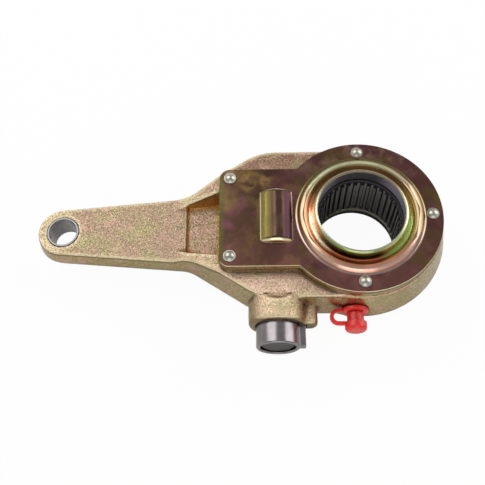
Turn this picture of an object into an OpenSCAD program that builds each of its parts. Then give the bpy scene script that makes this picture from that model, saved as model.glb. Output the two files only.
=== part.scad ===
// Manual brake slack adjuster: a cast lever turned on its camshaft by a worm and wheel.
// The camshaft bore runs along Z through the origin, the arm points to -X and the adjuster to -Y.

/* [Camshaft spline] */
// Teeth of the internal spline
spline_teeth = 37; // [24:1:46]
// Diameter at the bottom of the spline spaces
spline_major_d = 40.8; // [38:0.1:48]
// Diameter at the tips of the spline teeth
spline_minor_d = 38.1; // [35:0.1:44]
// Width of a spline tooth at its tip
spline_tip_w = 1.25; // [0.8:0.05:1.6]
// Half angle of a spline space
spline_flank_a = 22; // [15:1:26]
// Length of the smooth lead-in at each end of the spline
spline_lead = 2.2; // [1:0.1:4]

/* [Worm and wheel] */
// Teeth of the worm wheel
wheel_teeth = 18; // [14:1:24]
// Wall between the spline and the bottom of the wheel teeth
wheel_wall = 3.4; // [2:0.1:6]
// Height of a wheel tooth above the pitch circle
tooth_addendum = 2.7; // [2:0.1:3]
// Height of the worm thread above its pitch circle
worm_addendum = 3; // [2:0.1:3.4]
// Depth of the worm thread below its pitch circle
worm_dedendum = 3.6; // [2.5:0.1:4.5]
// Outside diameter of the worm
worm_d = 33; // [28:0.5:34]
// Length of the worm
worm_len = 24; // [20:0.2:32]
// Axial thickness of the worm thread at its pitch circle
thread_w = 4; // [3:0.1:4.6]
// Pressure angle of the thread and the wheel teeth
pressure_a = 20; // [14:0.5:25]
// Play between a wheel tooth and the thread on each side
backlash = 0.5; // [0.3:0.05:0.8]
// Gap between the worm's outside and the throat of the wheel
throat_gap = 0.8; // [0.4:0.1:1.5]
// Height of the wheel's rims above the tooth tips
rim_rise = 0.3; // [0.1:0.1:1]
// Width of the plain rim at each end of the wheel's teeth
rim_w = 2; // [1:0.1:3]

/* [Cast body] */
// Thickness between the two cover faces
body_t = 30; // [26:0.5:36]
// Height of the cover pad above the front shoulder
pad_rise = 3.5; // [1:0.1:6]
// Distance of the rear shoulder from the middle plane
rear_shoulder = 12.5; // [10:0.1:14]
// Distance of the parting line behind the middle plane
parting_drop = 5.5; // [0:0.1:9]
// Swell of the side walls at the parting line
draft_swell = 2.5; // [0.5:0.1:4]
// Swell of the round end at the parting line
round_swell = 3.3; // [0.5:0.1:4]
// Wall between the wheel bore and the cover rivets
rivet_wall = 4.3; // [3.5:0.1:7]
// Width of the shoulder around the round end
shoulder_w = 1; // [0.5:0.1:3]
// Wall from the worm chamber to the arm end of the cover
end_wall = 10.7; // [9:0.1:16]
// Wall from the worm chamber to the sides of the cover
side_wall = 13.2; // [9:0.1:16]
// Slope of the flanks towards the arm
flank_a = 33; // [25:1:45]
// Land around the corner rivets up to the flank
flank_land = 7.8; // [6:0.1:11]
// Radius between flank and side
corner_r = 30; // [15:0.5:36]
// Radius between flank and arm
root_r = 22; // [10:0.5:30]
// Radial gap between the worm and its chamber
chamber_gap = 0.7; // [0.4:0.1:1.2]

/* [Arm] */
// Distance from the camshaft to the eye of the arm
lever_len = 150; // [130:1:180]
// Bore of the bush in the eye
eye_d = 14; // [12:0.1:16]
// Wall of the bush
bush_wall = 1.1; // [1:0.1:3]
// Wall of the eye around the bush at the top of the draft
eye_wall = 3.1; // [2:0.1:6]
// Taper of each side of the arm
arm_taper = 5; // [2:0.1:7]
// Height of the arm's front face above the middle plane
arm_face = 2.5; // [0:0.1:5]
// Length of the sloped ribs beside the pocket
rib_len = 24; // [16:0.5:26]
// Width between the ribs at the arm
channel_w = 22.4; // [16:0.2:24]
// Widening of the channel towards the cover, each side
channel_flare = 3.3; // [1:0.1:4]
// Draft of the ribs' inner sides over their height
rib_draft = 3; // [1:0.1:4]
// Depth of the pocket below the arm's face
pocket_depth = 1.5; // [0.8:0.1:4]
// Length of the pocket
pocket_len = 17.5; // [10:0.1:20]

/* [Covers] */
// Thickness of the cover sheet
sheet = 2; // [1.2:0.1:2.5]
// Thickness of the gaskets
gasket_t = 0.5; // [0.3:0.1:1]
// Inset of the gaskets from the edge of the covers
gasket_inset = 0.8; // [0.3:0.1:2]
// Radius of the covers' corners
cover_corner_r = 5; // [2:0.5:8]
// Radial gap between the spline and the lip of the cover
lip_gap = 0.8; // [0.3:0.1:1.5]
// Height of the lip above the cover
lip_h = 5.4; // [3:0.1:8]
// Depth of the groove's floor below the cover face
groove_drop = 0.5; // [0.2:0.1:1]
// Width of the groove outside the lip
groove_w = 3.3; // [2.6:0.1:5]
// Width of the raised ring's flat
ring_w = 3.3; // [2.5:0.1:5]
// Height of the raised ring
ring_h = 2.1; // [1:0.1:3]
// Slope width at the foot of the raised ring
ring_slope = 1.4; // [0.8:0.1:2.5]
// Radius of the raised ring's edges
ring_round = 1.5; // [0.5:0.1:1.6]
// Radius at the foot of the raised ring
foot_round = 1.2; // [0.3:0.1:1.4]
// Radius at the bottom of the groove
groove_round = 0.9; // [0.3:0.1:1]
// Outer radius at the top of the lip
lip_round = 1.2; // [0.5:0.1:1.3]
// Widening of the lip towards the groove
lip_flare = 0.8; // [0:0.1:1]
// Inner radius of the sheet's bends
bend_round = 0.4; // [0.2:0.1:0.6]
// Width of the blister over the worm
blister_w = 15.7; // [13:0.1:17]
// Height of the blister
blister_h = 3.5; // [3:0.1:6]
// Radius of the blister's ends
blister_end_r = 2.2; // [1:0.1:3]
// Width of the cover outside the rivet heads
rivet_edge = 2.05; // [1:0.05:4]
// Diameter of the rivet heads at their collar
rivet_head_d = 6; // [5.4:0.1:7]
// Thickness of the collar under the rivets' dome
rivet_collar_t = 0.5; // [0.3:0.1:1]
// Width of the collar outside the dome
rivet_collar_w = 0.4; // [0.2:0.1:1]
// Height of the rivet heads
rivet_head_h = 1.9; // [1.2:0.1:2.5]
// Diameter of the rivet shanks
rivet_d = 4; // [3:0.1:4.4]
// Distance of the corner rivets from the edges of the cover
corner_inset = 5.1; // [4:0.1:8]
// Width of the seal rings
seal_w = 1.4; // [0.8:0.1:1.6]

/* [Adjuster] */
// Size across flats of the adjusting hexagon
hex_af = 14.3; // [12:0.1:16]
// Length of the adjusting hexagon
hex_len = 11.5; // [8:0.5:16]
// Width of the hexagon's chamfer outside its flats
hex_chamfer = 0.35; // [0.1:0.05:0.8]
// Diameter of the worm shaft in its bearings
shaft_d = 13; // [10:0.1:14]
// Diameter of the shaft's neck behind the hexagon
neck_d = 12; // [8:0.1:12.6]
// Length of the bearing between worm and lock spring
bearing_len = 16.7; // [10:0.1:20]
// Length of the bearing on the far side of the worm
far_bearing_len = 22.7; // [12:0.1:24]
// Depth of the sleeve's bore in the boss
boss_bore = 21.5; // [18:0.5:26]
// Length of the lock sleeve
sleeve_len = 22; // [18:0.5:26]
// Reach of the lock sleeve out of the boss
sleeve_reach = 10.5; // [8:0.5:12]
// Wall of the lock sleeve at its mouth
sleeve_wall = 1.95; // [1.2:0.05:3]
// Chamfer at the mouth of the lock sleeve
sleeve_chamfer = 0.5; // [0.2:0.1:0.9]
// Thickness of the sleeve's inner collar
collar_t = 3; // [2:0.1:5]
// Recess of the hexagon in the sleeve's mouth
hex_recess = 1; // [0:0.1:3]
// Wall of the sleeve's skirt around the spring
skirt_wall = 1.5; // [1:0.1:2]
// Height of the sleeve's key above its outside
key_h = 2.8; // [1.5:0.1:4]
// Width of the sleeve's key
key_w = 4.6; // [3:0.1:6]
// Stroke of the lock sleeve
sleeve_stroke = 7; // [4:0.5:7.5]
// Wall of the boss around the sleeve
boss_wall = 3.6; // [2.5:0.1:6]
// Wall of the boss beyond the key
key_boss_wall = 6; // [2:0.1:7]
// Diameter of the boss's ridge over the key
key_boss_d = 9; // [8:0.1:12]
// Rounding at the end of the boss
boss_round = 2; // [0.5:0.1:2.4]
// Reach of the boss into the side wall
boss_root = 1; // [0.5:0.1:3]
// Length of the groove behind the boss
scoop_len = 17; // [10:0.5:22]
// Radius of the groove behind the boss at its middle
scoop_r = 2; // [1:0.1:3]
// Least wall between that groove and the bore of the sleeve
scoop_wall = 1.2; // [0.8:0.1:2]
// Wire diameter of the lock spring
spring_wire = 1.5; // [1:0.1:1.6]
// Turns of the lock spring
spring_turns = 5; // [3:0.5:6]
// Thickness of the spring seat
seat_t = 1; // [0.5:0.1:2]
// Thickness of the worm's thrust washers
thrust_t = 0.8; // [0.5:0.1:1.5]
// Width of the thrust washers outside the worm's root
thrust_land = 2; // [1:0.1:3]
// Diameter of the end plug
plug_d = 19.8; // [16:0.1:22]
// Thickness of the end plug
plug_t = 1.6; // [1:0.1:2.5]
// Rise of the end plug's dish
plug_dish = 0.8; // [0.3:0.1:1.2]

/* [Grease nipple] */
// Offset of the nipple from the camshaft towards the arm
nipple_x = 3.6; // [0:0.1:10]
// Depth of the spot face below the swollen side wall
spot_depth = 2; // [0.5:0.1:3.5]
// Diameter of the nipple's shank
nipple_d = 6; // [5:0.1:7]
// Wall between the nipple's shank and the rivet behind it
shank_wall = 0.5; // [0.3:0.1:1.5]
// Diameter of the nipple's head
nipple_head_d = 6.2; // [5:0.1:7]
// Height of the nipple above its spot face
nipple_h = 9.7; // [9:0.1:13]
// Height of the nipple's head
head_h = 3; // [2:0.1:4]
// Step from the nipple's neck to its head
head_step = 0.8; // [0.4:0.1:1.2]
// Taper at the nipple's tip
tip_taper = 1.5; // [0.8:0.1:1.8]
// Diameter of the nipple's bore
grease_d = 2.6; // [2:0.1:3]
// Diameter of the grease channel in the body
duct_d = 2; // [1:0.1:2.2]
// Diameter of the check ball
ball_d = 2.2; // [1.6:0.1:2.4]
// Depth of the check ball's seat below the nipple's tip
ball_depth = 1.1; // [0.8:0.1:2]
// Overlap of the check ball on its seat
seat_lap = 0.3; // [0.1:0.05:0.5]
// Wire diameter of the check ball's spring
ball_wire = 0.4; // [0.3:0.05:0.5]
// Turns of the check ball's spring
ball_turns = 6; // [4:1:8]
// Height of the step under the check ball's spring
spring_step = 1; // [0.5:0.1:1.5]
// Opening travel of the check ball
ball_stroke = 0.8; // [0.4:0.1:1.2]
// Width of the spot face outside the cap's ring
spot_margin = 0.5; // [0.3:0.1:2]
// Diameter of the cap's ring
cap_ring_d = 13; // [11:0.1:15]
// Thickness of the cap's ring
cap_ring_t = 2; // [1.5:0.1:3]
// Wall of the cap's skirt
cap_wall = 0.8; // [0.6:0.1:1.5]
// Diameter of the cap's head
cap_head_d = 10.6; // [9:0.1:13]
// Length of the cap's head
cap_head_h = 4.6; // [3:0.1:6]
// Thickness of the cap's closed end
cap_top = 1.4; // [1:0.1:3]
// Rounding at the end of the cap
cap_round = 1.8; // [0.5:0.1:2.2]
// Thickness of the strap
strap_t = 1.8; // [1:0.1:2]
// Width of the strap
strap_w = 2.2; // [1.5:0.1:4]
// Height of the strap above the nipple's axis
strap_rise = 1.2; // [0:0.1:3.5]
// Reach of the strap's straight leg beyond the ring
strap_leg = 1.7; // [0.5:0.1:4]

/* [Fits] */
// Running clearance of shafts and of the wheel in their bores, radial
run_gap = 0.05; // [0.02:0.01:0.1]
// Sliding clearance of the lock sleeve, radial
slide_gap = 0.08; // [0.05:0.01:0.2]
// Clearance of pressed pieces of one group, radial
press_gap = 0.02; // [0.01:0.01:0.05]
// Gap between pieces that move past each other
move_gap = 0.3; // [0.2:0.05:0.5]
// Clearance of the rivets in their holes, radial
rivet_gap = 0.1; // [0.05:0.05:0.3]
// Clearance of the cap on the nipple, radial
cap_gap = 0.15; // [0.05:0.05:0.3]

/* [Hidden] */
$fn = 96;
e = 0.01;
// Length of the cutters that run out of the part
over = 2 * body_t;
// Rise of the rounded corners over the straight walls, so that they cross and don't only touch
blend_rise = 0.06;
// Setback of the walls' ends from the middle of the rounded corners
blend_setback = 0.6;
// Overlap of the walls that meet inside the casting
wall_lap = 2;
// Overlap of the covers' plates and their pressed centres
plate_lap = 1;
// Steps of a rounded corner in the covers' section
arc_steps = 6;

spline_r = spline_major_d / 2;
tip_r = spline_minor_d / 2;
wheel_root_r = spline_r + wheel_wall;
tooth_dedendum = worm_addendum + throat_gap;
wheel_pitch_r = wheel_root_r + tooth_dedendum;
wheel_tip_r = wheel_pitch_r + tooth_addendum;
rim_r = wheel_tip_r + rim_rise;
bore_r = rim_r + run_gap;
lead = 2 * PI * wheel_pitch_r / wheel_teeth;
worm_r = worm_d / 2;
worm_pitch_r = worm_r - worm_addendum;
lead_a = atan(lead / (2 * PI * worm_pitch_r));
thread_start = 180 - 180 * worm_len / lead;
worm_root_r = worm_pitch_r - worm_dedendum;
worm_x = wheel_pitch_r + worm_pitch_r;
chamber_r = worm_r + chamber_gap;
chamber_half = worm_len / 2 + move_gap + thrust_t;
blister_half = worm_len / 2 + move_gap + sheet;

pad_z = body_t / 2;
shoulder_z = pad_z - pad_rise;
face_z = pad_z + gasket_t + sheet;
rivet_r = bore_r + rivet_wall;
cover_r = rivet_r + rivet_head_d / 2 + rivet_edge;
body_r = cover_r + shoulder_w;
cover_x = worm_x + chamber_r + end_wall;
cover_y = chamber_half + side_wall;
corner_rivet = [-cover_x + corner_inset, cover_y - corner_inset];
side_y = cover_r;
groove_under = face_z - groove_drop - sheet;
wheel_half = groove_under - move_gap;

lip_in = spline_r + lip_gap;
lip_out = lip_in + sheet;
ring_in = lip_out + groove_w;
ring_out = ring_in + ring_w;
foot_r = ring_out + ring_slope;

bush_r = eye_d / 2 + bush_wall;
arm_tip_r = bush_r + eye_wall;
arm_edge = [-lever_len - arm_tip_r * sin(arm_taper), arm_tip_r * cos(arm_taper)];
flank_n = [-sin(flank_a), cos(flank_a)];
flank_foot = corner_rivet + flank_land * flank_n;
flank_side = [flank_foot.x + (side_y - flank_foot.y) / tan(flank_a), side_y];
flank_arm_run = (flank_foot.y - arm_edge.y - (flank_foot.x - arm_edge.x) * tan(flank_a))
              / (tan(arm_taper) - tan(flank_a));
flank_arm = arm_edge + flank_arm_run * [1, tan(arm_taper)];
corner_c = flank_side + corner_r * [tan(flank_a / 2), -1];
corner_t = corner_c + corner_r * flank_n;
root_run = root_r * tan((flank_a - arm_taper) / 2);
flank_d = [cos(flank_a), sin(flank_a)];
arm_d = [cos(arm_taper), sin(arm_taper)];
root_t = flank_arm + root_run * flank_d;
arm_t = flank_arm - root_run * arm_d;
root_c = root_t + root_r * flank_n;
core_y = (arm_tip_r + flank_arm.y) / 2;

shaft_r = shaft_d / 2;
neck_r = neck_d / 2;
hex_r = hex_af / sqrt(3);
mouth_r = hex_r + move_gap;
sleeve_r = mouth_r + sleeve_wall;
sleeve_bore_r = sleeve_r + slide_gap;
key_r = sleeve_r + key_h;
seat_y = chamber_half + bearing_len;
boss_y = seat_y + boss_bore;
sleeve_y = boss_y + sleeve_reach;
hex_y = sleeve_y - hex_recess;
hex_foot_y = hex_y - hex_len;
collar_y = hex_foot_y - collar_t;
skirt_y = sleeve_y - sleeve_len;
boss_r = sleeve_bore_r + boss_wall;
key_boss_r = key_boss_d / 2;
key_boss_x = key_r + key_boss_wall - key_boss_r;
spring_r = sleeve_r - skirt_wall - spring_wire / 2 - move_gap;
spring_len = collar_y - move_gap - seat_y - seat_t;
far_y = chamber_half + far_bearing_len;
plug_r = plug_d / 2;

spot_y = body_r + round_swell - spot_depth;
nipple_shank = spot_y - rivet_r - rivet_d / 2 - rivet_gap - shank_wall;
nipple_r = nipple_d / 2;
nipple_head_r = nipple_head_d / 2;
nipple_tip_y = spot_y + nipple_h;
cap_in_r = nipple_head_r + cap_gap;
cap_r = cap_in_r + cap_wall;
cap_y = spot_y + cap_ring_t + move_gap;
cap_end_y = nipple_tip_y + move_gap + cap_top;
ball_y = nipple_tip_y - ball_depth;
spring_y = spot_y - nipple_shank + spring_step;

// Turns a piece drawn along +Z so that it points along -Y.
module along_y() {
    rotate([90, 0, 0]) children();
}

// Places a piece drawn along +Z on the worm's axis, with +Z pointing along -Y.
module on_worm_axis() {
    translate([-worm_x, 0, 0]) along_y() children();
}

module both_sides() {
    children();
    mirror([0, 1, 0]) children();
}

module at_rivets() {
    for (p = [[0, rivet_r], [0, -rivet_r], [rivet_r, 0], corner_rivet, [corner_rivet.x, -corner_rivet.y]])
        translate(p) children();
}

module ring(r_in, r_out, h) {
    linear_extrude(h) difference() {
        circle(r_out);
        circle(r_in);
    }
}

// Outline shared by covers, gaskets and pads, drawn smaller by an inset.
module cover_outline(inset = 0) {
    r = cover_corner_r - inset;
    circle(cover_r - inset);
    translate([-cover_x + inset, -cover_y + inset + r]) square([cover_x, 2 * (cover_y - inset - r)]);
    translate([-cover_x + inset + r, -cover_y + inset])
        square([cover_x - inset - r, 2 * (cover_y - inset)]);
    for (s = [1, -1])
        translate([-cover_x + inset + r, s * (cover_y - inset - r)]) circle(r);
}

// Section of a cast side wall, swollen at the parting line, that reaches inwards by depth.
// It runs on past both shoulders, where the slab cuts it off.
module wall_section(depth, edge, swell, parting) {
    low_x = edge - wall_lap * swell / (rear_shoulder - parting);
    high_x = edge - wall_lap * swell / (shoulder_z + parting);
    low_z = -rear_shoulder - wall_lap;
    high_z = shoulder_z + wall_lap;
    polygon([[-depth, low_z], [low_x, low_z], [edge + swell, -parting], [high_x, high_z], [-depth, high_z]]);
}

// Cast wall around c, with its parting line a little lower than that of the straight walls it crosses.
module cast_round(c, r, swell = draft_swell) {
    translate(c) rotate_extrude() wall_section(0, r, swell, parting_drop + blend_rise);
}

// Cast wall along the line from p to q, with its outside on the left.
module cast_wall(p, q, depth) {
    d = (q - p) / norm(q - p);
    multmatrix([[-d.y, 0, d.x, p.x], [d.x, 0, d.y, p.y], [0, 1, 0, 0]])
        linear_extrude(norm(q - p)) wall_section(depth, 0, draft_swell, parting_drop);
}

// Hollow corner between flank and arm.
module cast_root() {
    difference() {
        translate([0, 0, -rear_shoulder - wall_lap])
            linear_extrude(rear_shoulder + shoulder_z + 2 * wall_lap)
                polygon([flank_arm - [0, arm_tip_r], root_t + wall_lap * flank_d,
                         root_c, arm_t - wall_lap * arm_d]);
        cast_round(root_c, root_r + blend_rise, -draft_swell);
    }
}

module lever_shape() {
    intersection() {
        union() {
            cast_round([0, 0], body_r, round_swell);
            cast_round([-lever_len, 0], arm_tip_r + blend_rise);
            both_sides() {
                cast_round(corner_c, corner_r + blend_rise);
                cast_wall([corner_c.x + blend_setback, side_y], [-wall_lap, side_y], side_y + wall_lap);
                cast_wall(flank_arm, corner_t - blend_setback * flank_d, flank_foot.y);
                cast_wall(arm_edge + blend_setback * arm_d, flank_arm, flank_arm.y + wall_lap);
                cast_root();
            }
            translate([flank_arm.x - arm_tip_r, -core_y, -rear_shoulder - wall_lap])
                cube([cover_x, 2 * core_y, rear_shoulder + shoulder_z + 2 * wall_lap]);
        }
        translate([-lever_len - over, -2 * over, -rear_shoulder])
            cube([lever_len + 3 * over, 4 * over, rear_shoulder + shoulder_z]);
    }
}

// What is cast away above the arm: the slope of the ribs and the space over the arm.
module rib_slope() {
    along_y() translate([0, 0, -over]) linear_extrude(2 * over)
        polygon([[-cover_x, shoulder_z + over], [-cover_x, shoulder_z], [-cover_x - rib_len, arm_face],
                 [-lever_len - over, arm_face], [-lever_len - over, shoulder_z + over]]);
}

// Flat-bottomed channel between the ribs, wider towards the cover and towards the top.
module channel(from_x, floor_z) {
    to_x = cover_x - wall_lap;
    narrow = channel_w / 2 + channel_flare * (cover_x + rib_len - from_x) / rib_len;
    wide = channel_w / 2 + channel_flare * (cover_x + rib_len - to_x) / rib_len;
    hull() {
        translate([0, 0, floor_z]) linear_extrude(e)
            polygon([[-from_x, narrow], [-to_x, wide], [-to_x, -wide], [-from_x, -narrow]]);
        translate([0, 0, shoulder_z + e]) linear_extrude(e)
            polygon([[-from_x, narrow + rib_draft], [-to_x, wide + rib_draft],
                     [-to_x, -wide - rib_draft], [-from_x, -narrow - rib_draft]]);
    }
}

// Round post of the boss with a rounded end, from inside the side wall.
module boss_post(r) {
    foot_y = side_y - boss_root;
    translate([0, 0, foot_y]) rotate_extrude() {
        square([r, boss_y - foot_y - boss_round]);
        square([r - boss_round, boss_y - foot_y]);
        translate([r - boss_round, boss_y - foot_y - boss_round]) circle(boss_round);
    }
}

module boss() {
    on_worm_axis() {
        boss_post(boss_r);
        translate([key_boss_x, 0, 0]) boss_post(key_boss_r);
    }
}

// Groove between the shoulder and the boss, over the bore of the sleeve, that runs out at both ends.
module boss_scoop() {
    r = (pow(scoop_len / 2, 2) + pow(scoop_r, 2)) / (2 * scoop_r);
    translate([-worm_x, boss_root - side_y, sleeve_bore_r + scoop_wall + scoop_r]) rotate([0, 90, 0])
        rotate_extrude() intersection() {
            translate([scoop_r - r, 0]) circle(r);
            translate([0, -scoop_len]) square([scoop_len, 2 * scoop_len]);
        }
}

module body() {
    color([0.72, 0.62, 0.42]) difference() {
        union() {
            difference() {
                lever_shape();
                rib_slope();
                channel(cover_x + rib_len + wall_lap, arm_face);
                channel(cover_x + pocket_len, arm_face - pocket_depth);
            }
            translate([0, 0, -pad_z]) linear_extrude(body_t) cover_outline();
            boss();
        }
        boss_scoop();
        translate([0, 0, -over]) cylinder(r = bore_r, h = 2 * over);
        on_worm_axis() {
            translate([0, 0, -chamber_half]) cylinder(r = chamber_r, h = 2 * chamber_half);
            translate([0, 0, -far_y - e]) cylinder(r = shaft_r + run_gap, h = far_y + seat_y + 2 * e);
            translate([0, 0, seat_y]) cylinder(r = sleeve_bore_r, h = over);
            translate([0, 0, -far_y - over]) cylinder(r = plug_r + press_gap, h = over);
            translate([0, -key_w / 2 - slide_gap, skirt_y - sleeve_stroke - move_gap])
                cube([key_r + move_gap, key_w + 2 * slide_gap, over]);
        }
        translate([0, 0, -over]) at_rivets() cylinder(r = rivet_d / 2 + rivet_gap, h = 2 * over);
        translate([-lever_len, 0, -over]) cylinder(r = bush_r + press_gap, h = 2 * over);
        translate([-nipple_x, 0, 0]) along_y() {
            translate([0, 0, spot_y]) cylinder(r = cap_ring_d / 2 + spot_margin, h = over);
            translate([0, 0, spot_y - nipple_shank])
                cylinder(r = nipple_r + press_gap, h = nipple_shank + e);
            cylinder(d = duct_d, h = spot_y);
        }
    }
}

module lever_bush() {
    color([0.36, 0.33, 0.36]) translate([-lever_len, 0, -rear_shoulder])
        ring(eye_d / 2, bush_r, rear_shoulder + arm_face);
}

// Arc of radius r that rounds corner b of an outline between its neighbours a and c.
function unit(v) = v / norm(v);
function turned(v, a) = [v.x * cos(a) - v.y * sin(a), v.x * sin(a) + v.y * cos(a)];
function corner_arc(a, b, c, r) =
    let (u = unit(a - b), v = unit(c - b), half = acos(u * v) / 2)
    let (middle = b + r / sin(half) * unit(u + v), from = b + r / tan(half) * u - middle)
    let (sweep = sign(u.x * v.y - u.y * v.x) * (2 * half - 180))
    [for (i = [0 : arc_steps]) middle + turned(from, sweep * i / arc_steps)];

// Outline through the points [x, y, corner radius], with its corners rounded.
function rounded(points) = let (n = len(points), at = function(i) [points[i % n].x, points[i % n].y])
    [for (i = [0 : n - 1]) each points[i].z > 0
        ? corner_arc(at(i + n - 1), at(i), at(i + 1), points[i].z) : [at(i)]];

// Half section of the pressed centre: lip, groove and raised ring, one sheet thick.
module cover_section(out_r) {
    lip_top = face_z + lip_h;
    floor_z = face_z - groove_drop;
    ring_z = face_z + ring_h;
    under = sheet / 2;
    polygon(rounded([
        [lip_in, floor_z - sheet, bend_round],
        [ring_in - under, floor_z - sheet, bend_round],
        [ring_in + under, ring_z - sheet, bend_round],
        [ring_out - under, ring_z - sheet, bend_round],
        [foot_r - under, face_z - sheet, bend_round],
        [out_r, face_z - sheet, 0],
        [out_r, face_z, 0],
        [foot_r, face_z, foot_round],
        [ring_out, ring_z, ring_round],
        [ring_in, ring_z, ring_round],
        [ring_in - ring_h / 2, floor_z, groove_round],
        [lip_out + lip_flare, floor_z, groove_round],
        [lip_out, lip_top, lip_round],
        [lip_in, lip_top, bend_round]]));
}

// Arch over the worm with rounded ends, drawn smaller by an inset.
module blister_form(inset) {
    r = (pow(blister_w / 2, 2) + blister_h * blister_h) / (2 * blister_h);
    half = blister_half - inset;
    round_r = blister_end_r - inset / 2;
    translate([-worm_x, 0, face_z + blister_h - r]) along_y() rotate_extrude() {
        translate([0, -half + round_r]) square([r - inset, 2 * (half - round_r)]);
        translate([0, -half]) square([r - inset - round_r, 2 * half]);
        for (s = [1, -1])
            translate([r - inset - round_r, s * (half - round_r)]) circle(round_r);
    }
}

module cover() {
    join_r = foot_r + 2 * plate_lap;
    difference() {
        union() {
            translate([0, 0, face_z - sheet]) linear_extrude(sheet) difference() {
                cover_outline();
                circle(join_r - plate_lap);
            }
            rotate_extrude() cover_section(join_r);
            intersection() {
                blister_form(0);
                translate([-worm_x - over, -over, face_z - sheet]) cube(2 * over);
            }
        }
        intersection() {
            blister_form(sheet);
            translate([-worm_x - over, -over, 0]) cube(2 * over);
        }
        at_rivets() cylinder(r = rivet_d / 2 + rivet_gap, h = over);
    }
}

module front_cover() {
    color([0.32, 0.22, 0.18]) cover();
}

module rear_cover() {
    color([0.32, 0.22, 0.18]) mirror([0, 0, 1]) cover();
}

module gasket() {
    translate([0, 0, pad_z]) linear_extrude(gasket_t) difference() {
        cover_outline(gasket_inset);
        circle(foot_r);
        translate([-worm_x, 0]) square([blister_w, 2 * chamber_half], center = true);
        at_rivets() circle(rivet_d / 2 + rivet_gap);
    }
}

module front_gasket() {
    color([0.25, 0.24, 0.22]) gasket();
}

module rear_gasket() {
    color([0.25, 0.24, 0.22]) mirror([0, 0, 1]) gasket();
}

module seal() {
    mid = (ring_in + ring_out) / 2;
    translate([0, 0, wheel_half + move_gap])
        ring(mid - seal_w / 2, mid + seal_w / 2, face_z + ring_h - sheet - wheel_half - 2 * move_gap);
}

module front_seal() {
    color([0.1, 0.1, 0.1]) seal();
}

module rear_seal() {
    color([0.1, 0.1, 0.1]) mirror([0, 0, 1]) seal();
}

// Domed rivet head with a thin collar, that stands on the XY plane.
module rivet_head() {
    dome_r = rivet_head_d / 2 - rivet_collar_w;
    dome_h = rivet_head_h - rivet_collar_t;
    r = (pow(dome_r, 2) + pow(dome_h, 2)) / (2 * dome_h);
    rotate_extrude() {
        square([rivet_head_d / 2, rivet_collar_t]);
        intersection() {
            translate([0, rivet_head_h - r]) circle(r);
            square([rivet_head_d, rivet_head_h + e]);
        }
    }
}

module cover_rivets() {
    color([0.78, 0.78, 0.8]) at_rivets() {
        translate([0, 0, -face_z]) cylinder(d = rivet_d, h = 2 * face_z);
        translate([0, 0, face_z]) rivet_head();
        translate([0, 0, -face_z]) mirror([0, 0, 1]) rivet_head();
    }
}

module spline_spaces() {
    pitch_w = 2 * tip_r * sin(180 / spline_teeth);
    mouth_w = pitch_w - spline_tip_w;
    floor_w = mouth_w - 2 * (spline_r - tip_r) * tan(spline_flank_a);
    reach = 0.4;
    wide_w = mouth_w + 2 * reach * tan(spline_flank_a);
    for (i = [0 : spline_teeth - 1])
        rotate(i * 360 / spline_teeth)
            polygon([[tip_r - reach, -wide_w / 2], [spline_r, -floor_w / 2],
                     [spline_r, floor_w / 2], [tip_r - reach, wide_w / 2]]);
}

// One tooth of the wheel, leaning with the worm's lead, with parallel sides below the pitch circle.
module wheel_tooth() {
    pitch_w = lead - thread_w - 2 * backlash;
    tip_w = pitch_w - 2 * tooth_addendum * tan(pressure_a);
    root_x = -tooth_dedendum - wheel_wall / 2;
    tip_x = tooth_addendum + rim_rise;
    translate([wheel_pitch_r, 0, 0]) rotate([-lead_a, 0, 0])
        linear_extrude(body_t, center = true)
            polygon([[root_x, -pitch_w / 2], [0, -pitch_w / 2], [tip_x, -tip_w / 2],
                     [tip_x, tip_w / 2], [0, pitch_w / 2], [root_x, pitch_w / 2]]);
}

module worm_wheel() {
    color([0.33, 0.32, 0.33]) difference() {
        union() {
            rotate_extrude() difference() {
                translate([0, -wheel_half]) square([rim_r, 2 * wheel_half]);
                translate([worm_x, 0]) circle(worm_r + throat_gap);
            }
            intersection() {
                for (i = [0 : wheel_teeth - 1])
                    rotate(i * 360 / wheel_teeth) wheel_tooth();
                cylinder(r = wheel_tip_r, h = 2 * (wheel_half - rim_w), center = true);
            }
        }
        translate([0, 0, -over]) linear_extrude(2 * over) {
            circle(tip_r);
            spline_spaces();
        }
        for (s = [0, 1])
            mirror([0, 0, s]) translate([0, 0, wheel_half - spline_lead])
                cylinder(r = spline_r + lip_gap / 2, h = over);
    }
}

// Section of the single-start thread square to the worm's axis.
function half_turn_at(r) = 360 / lead * (thread_w / 2 - (r - worm_pitch_r) * tan(pressure_a));
function polar(r, a) = [r * cos(a), r * sin(a)];

module thread_section() {
    steps = 4;
    flank = [for (i = [0 : steps]) worm_root_r + (worm_r - worm_root_r) * i / steps];
    foot = half_turn_at(worm_root_r);
    polygon(concat(
        [for (r = flank) polar(r, -half_turn_at(r))],
        [polar(worm_r, 0)],
        [for (i = [steps : -1 : 0]) polar(flank[i], half_turn_at(flank[i]))],
        [for (i = [1 : steps]) polar(worm_root_r, foot + (360 - 2 * foot) * i / (steps + 1))]));
}

module worm() {
    turns = worm_len / lead;
    slices_per_turn = 16;
    color([0.45, 0.45, 0.46]) on_worm_axis() difference() {
        translate([0, 0, -worm_len / 2]) rotate(thread_start)
            linear_extrude(worm_len, twist = -360 * turns, slices = ceil(slices_per_turn * turns), $fn = 16)
                thread_section();
        translate([0, 0, -over]) cylinder(r = shaft_r + press_gap, h = 2 * over);
    }
}

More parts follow.
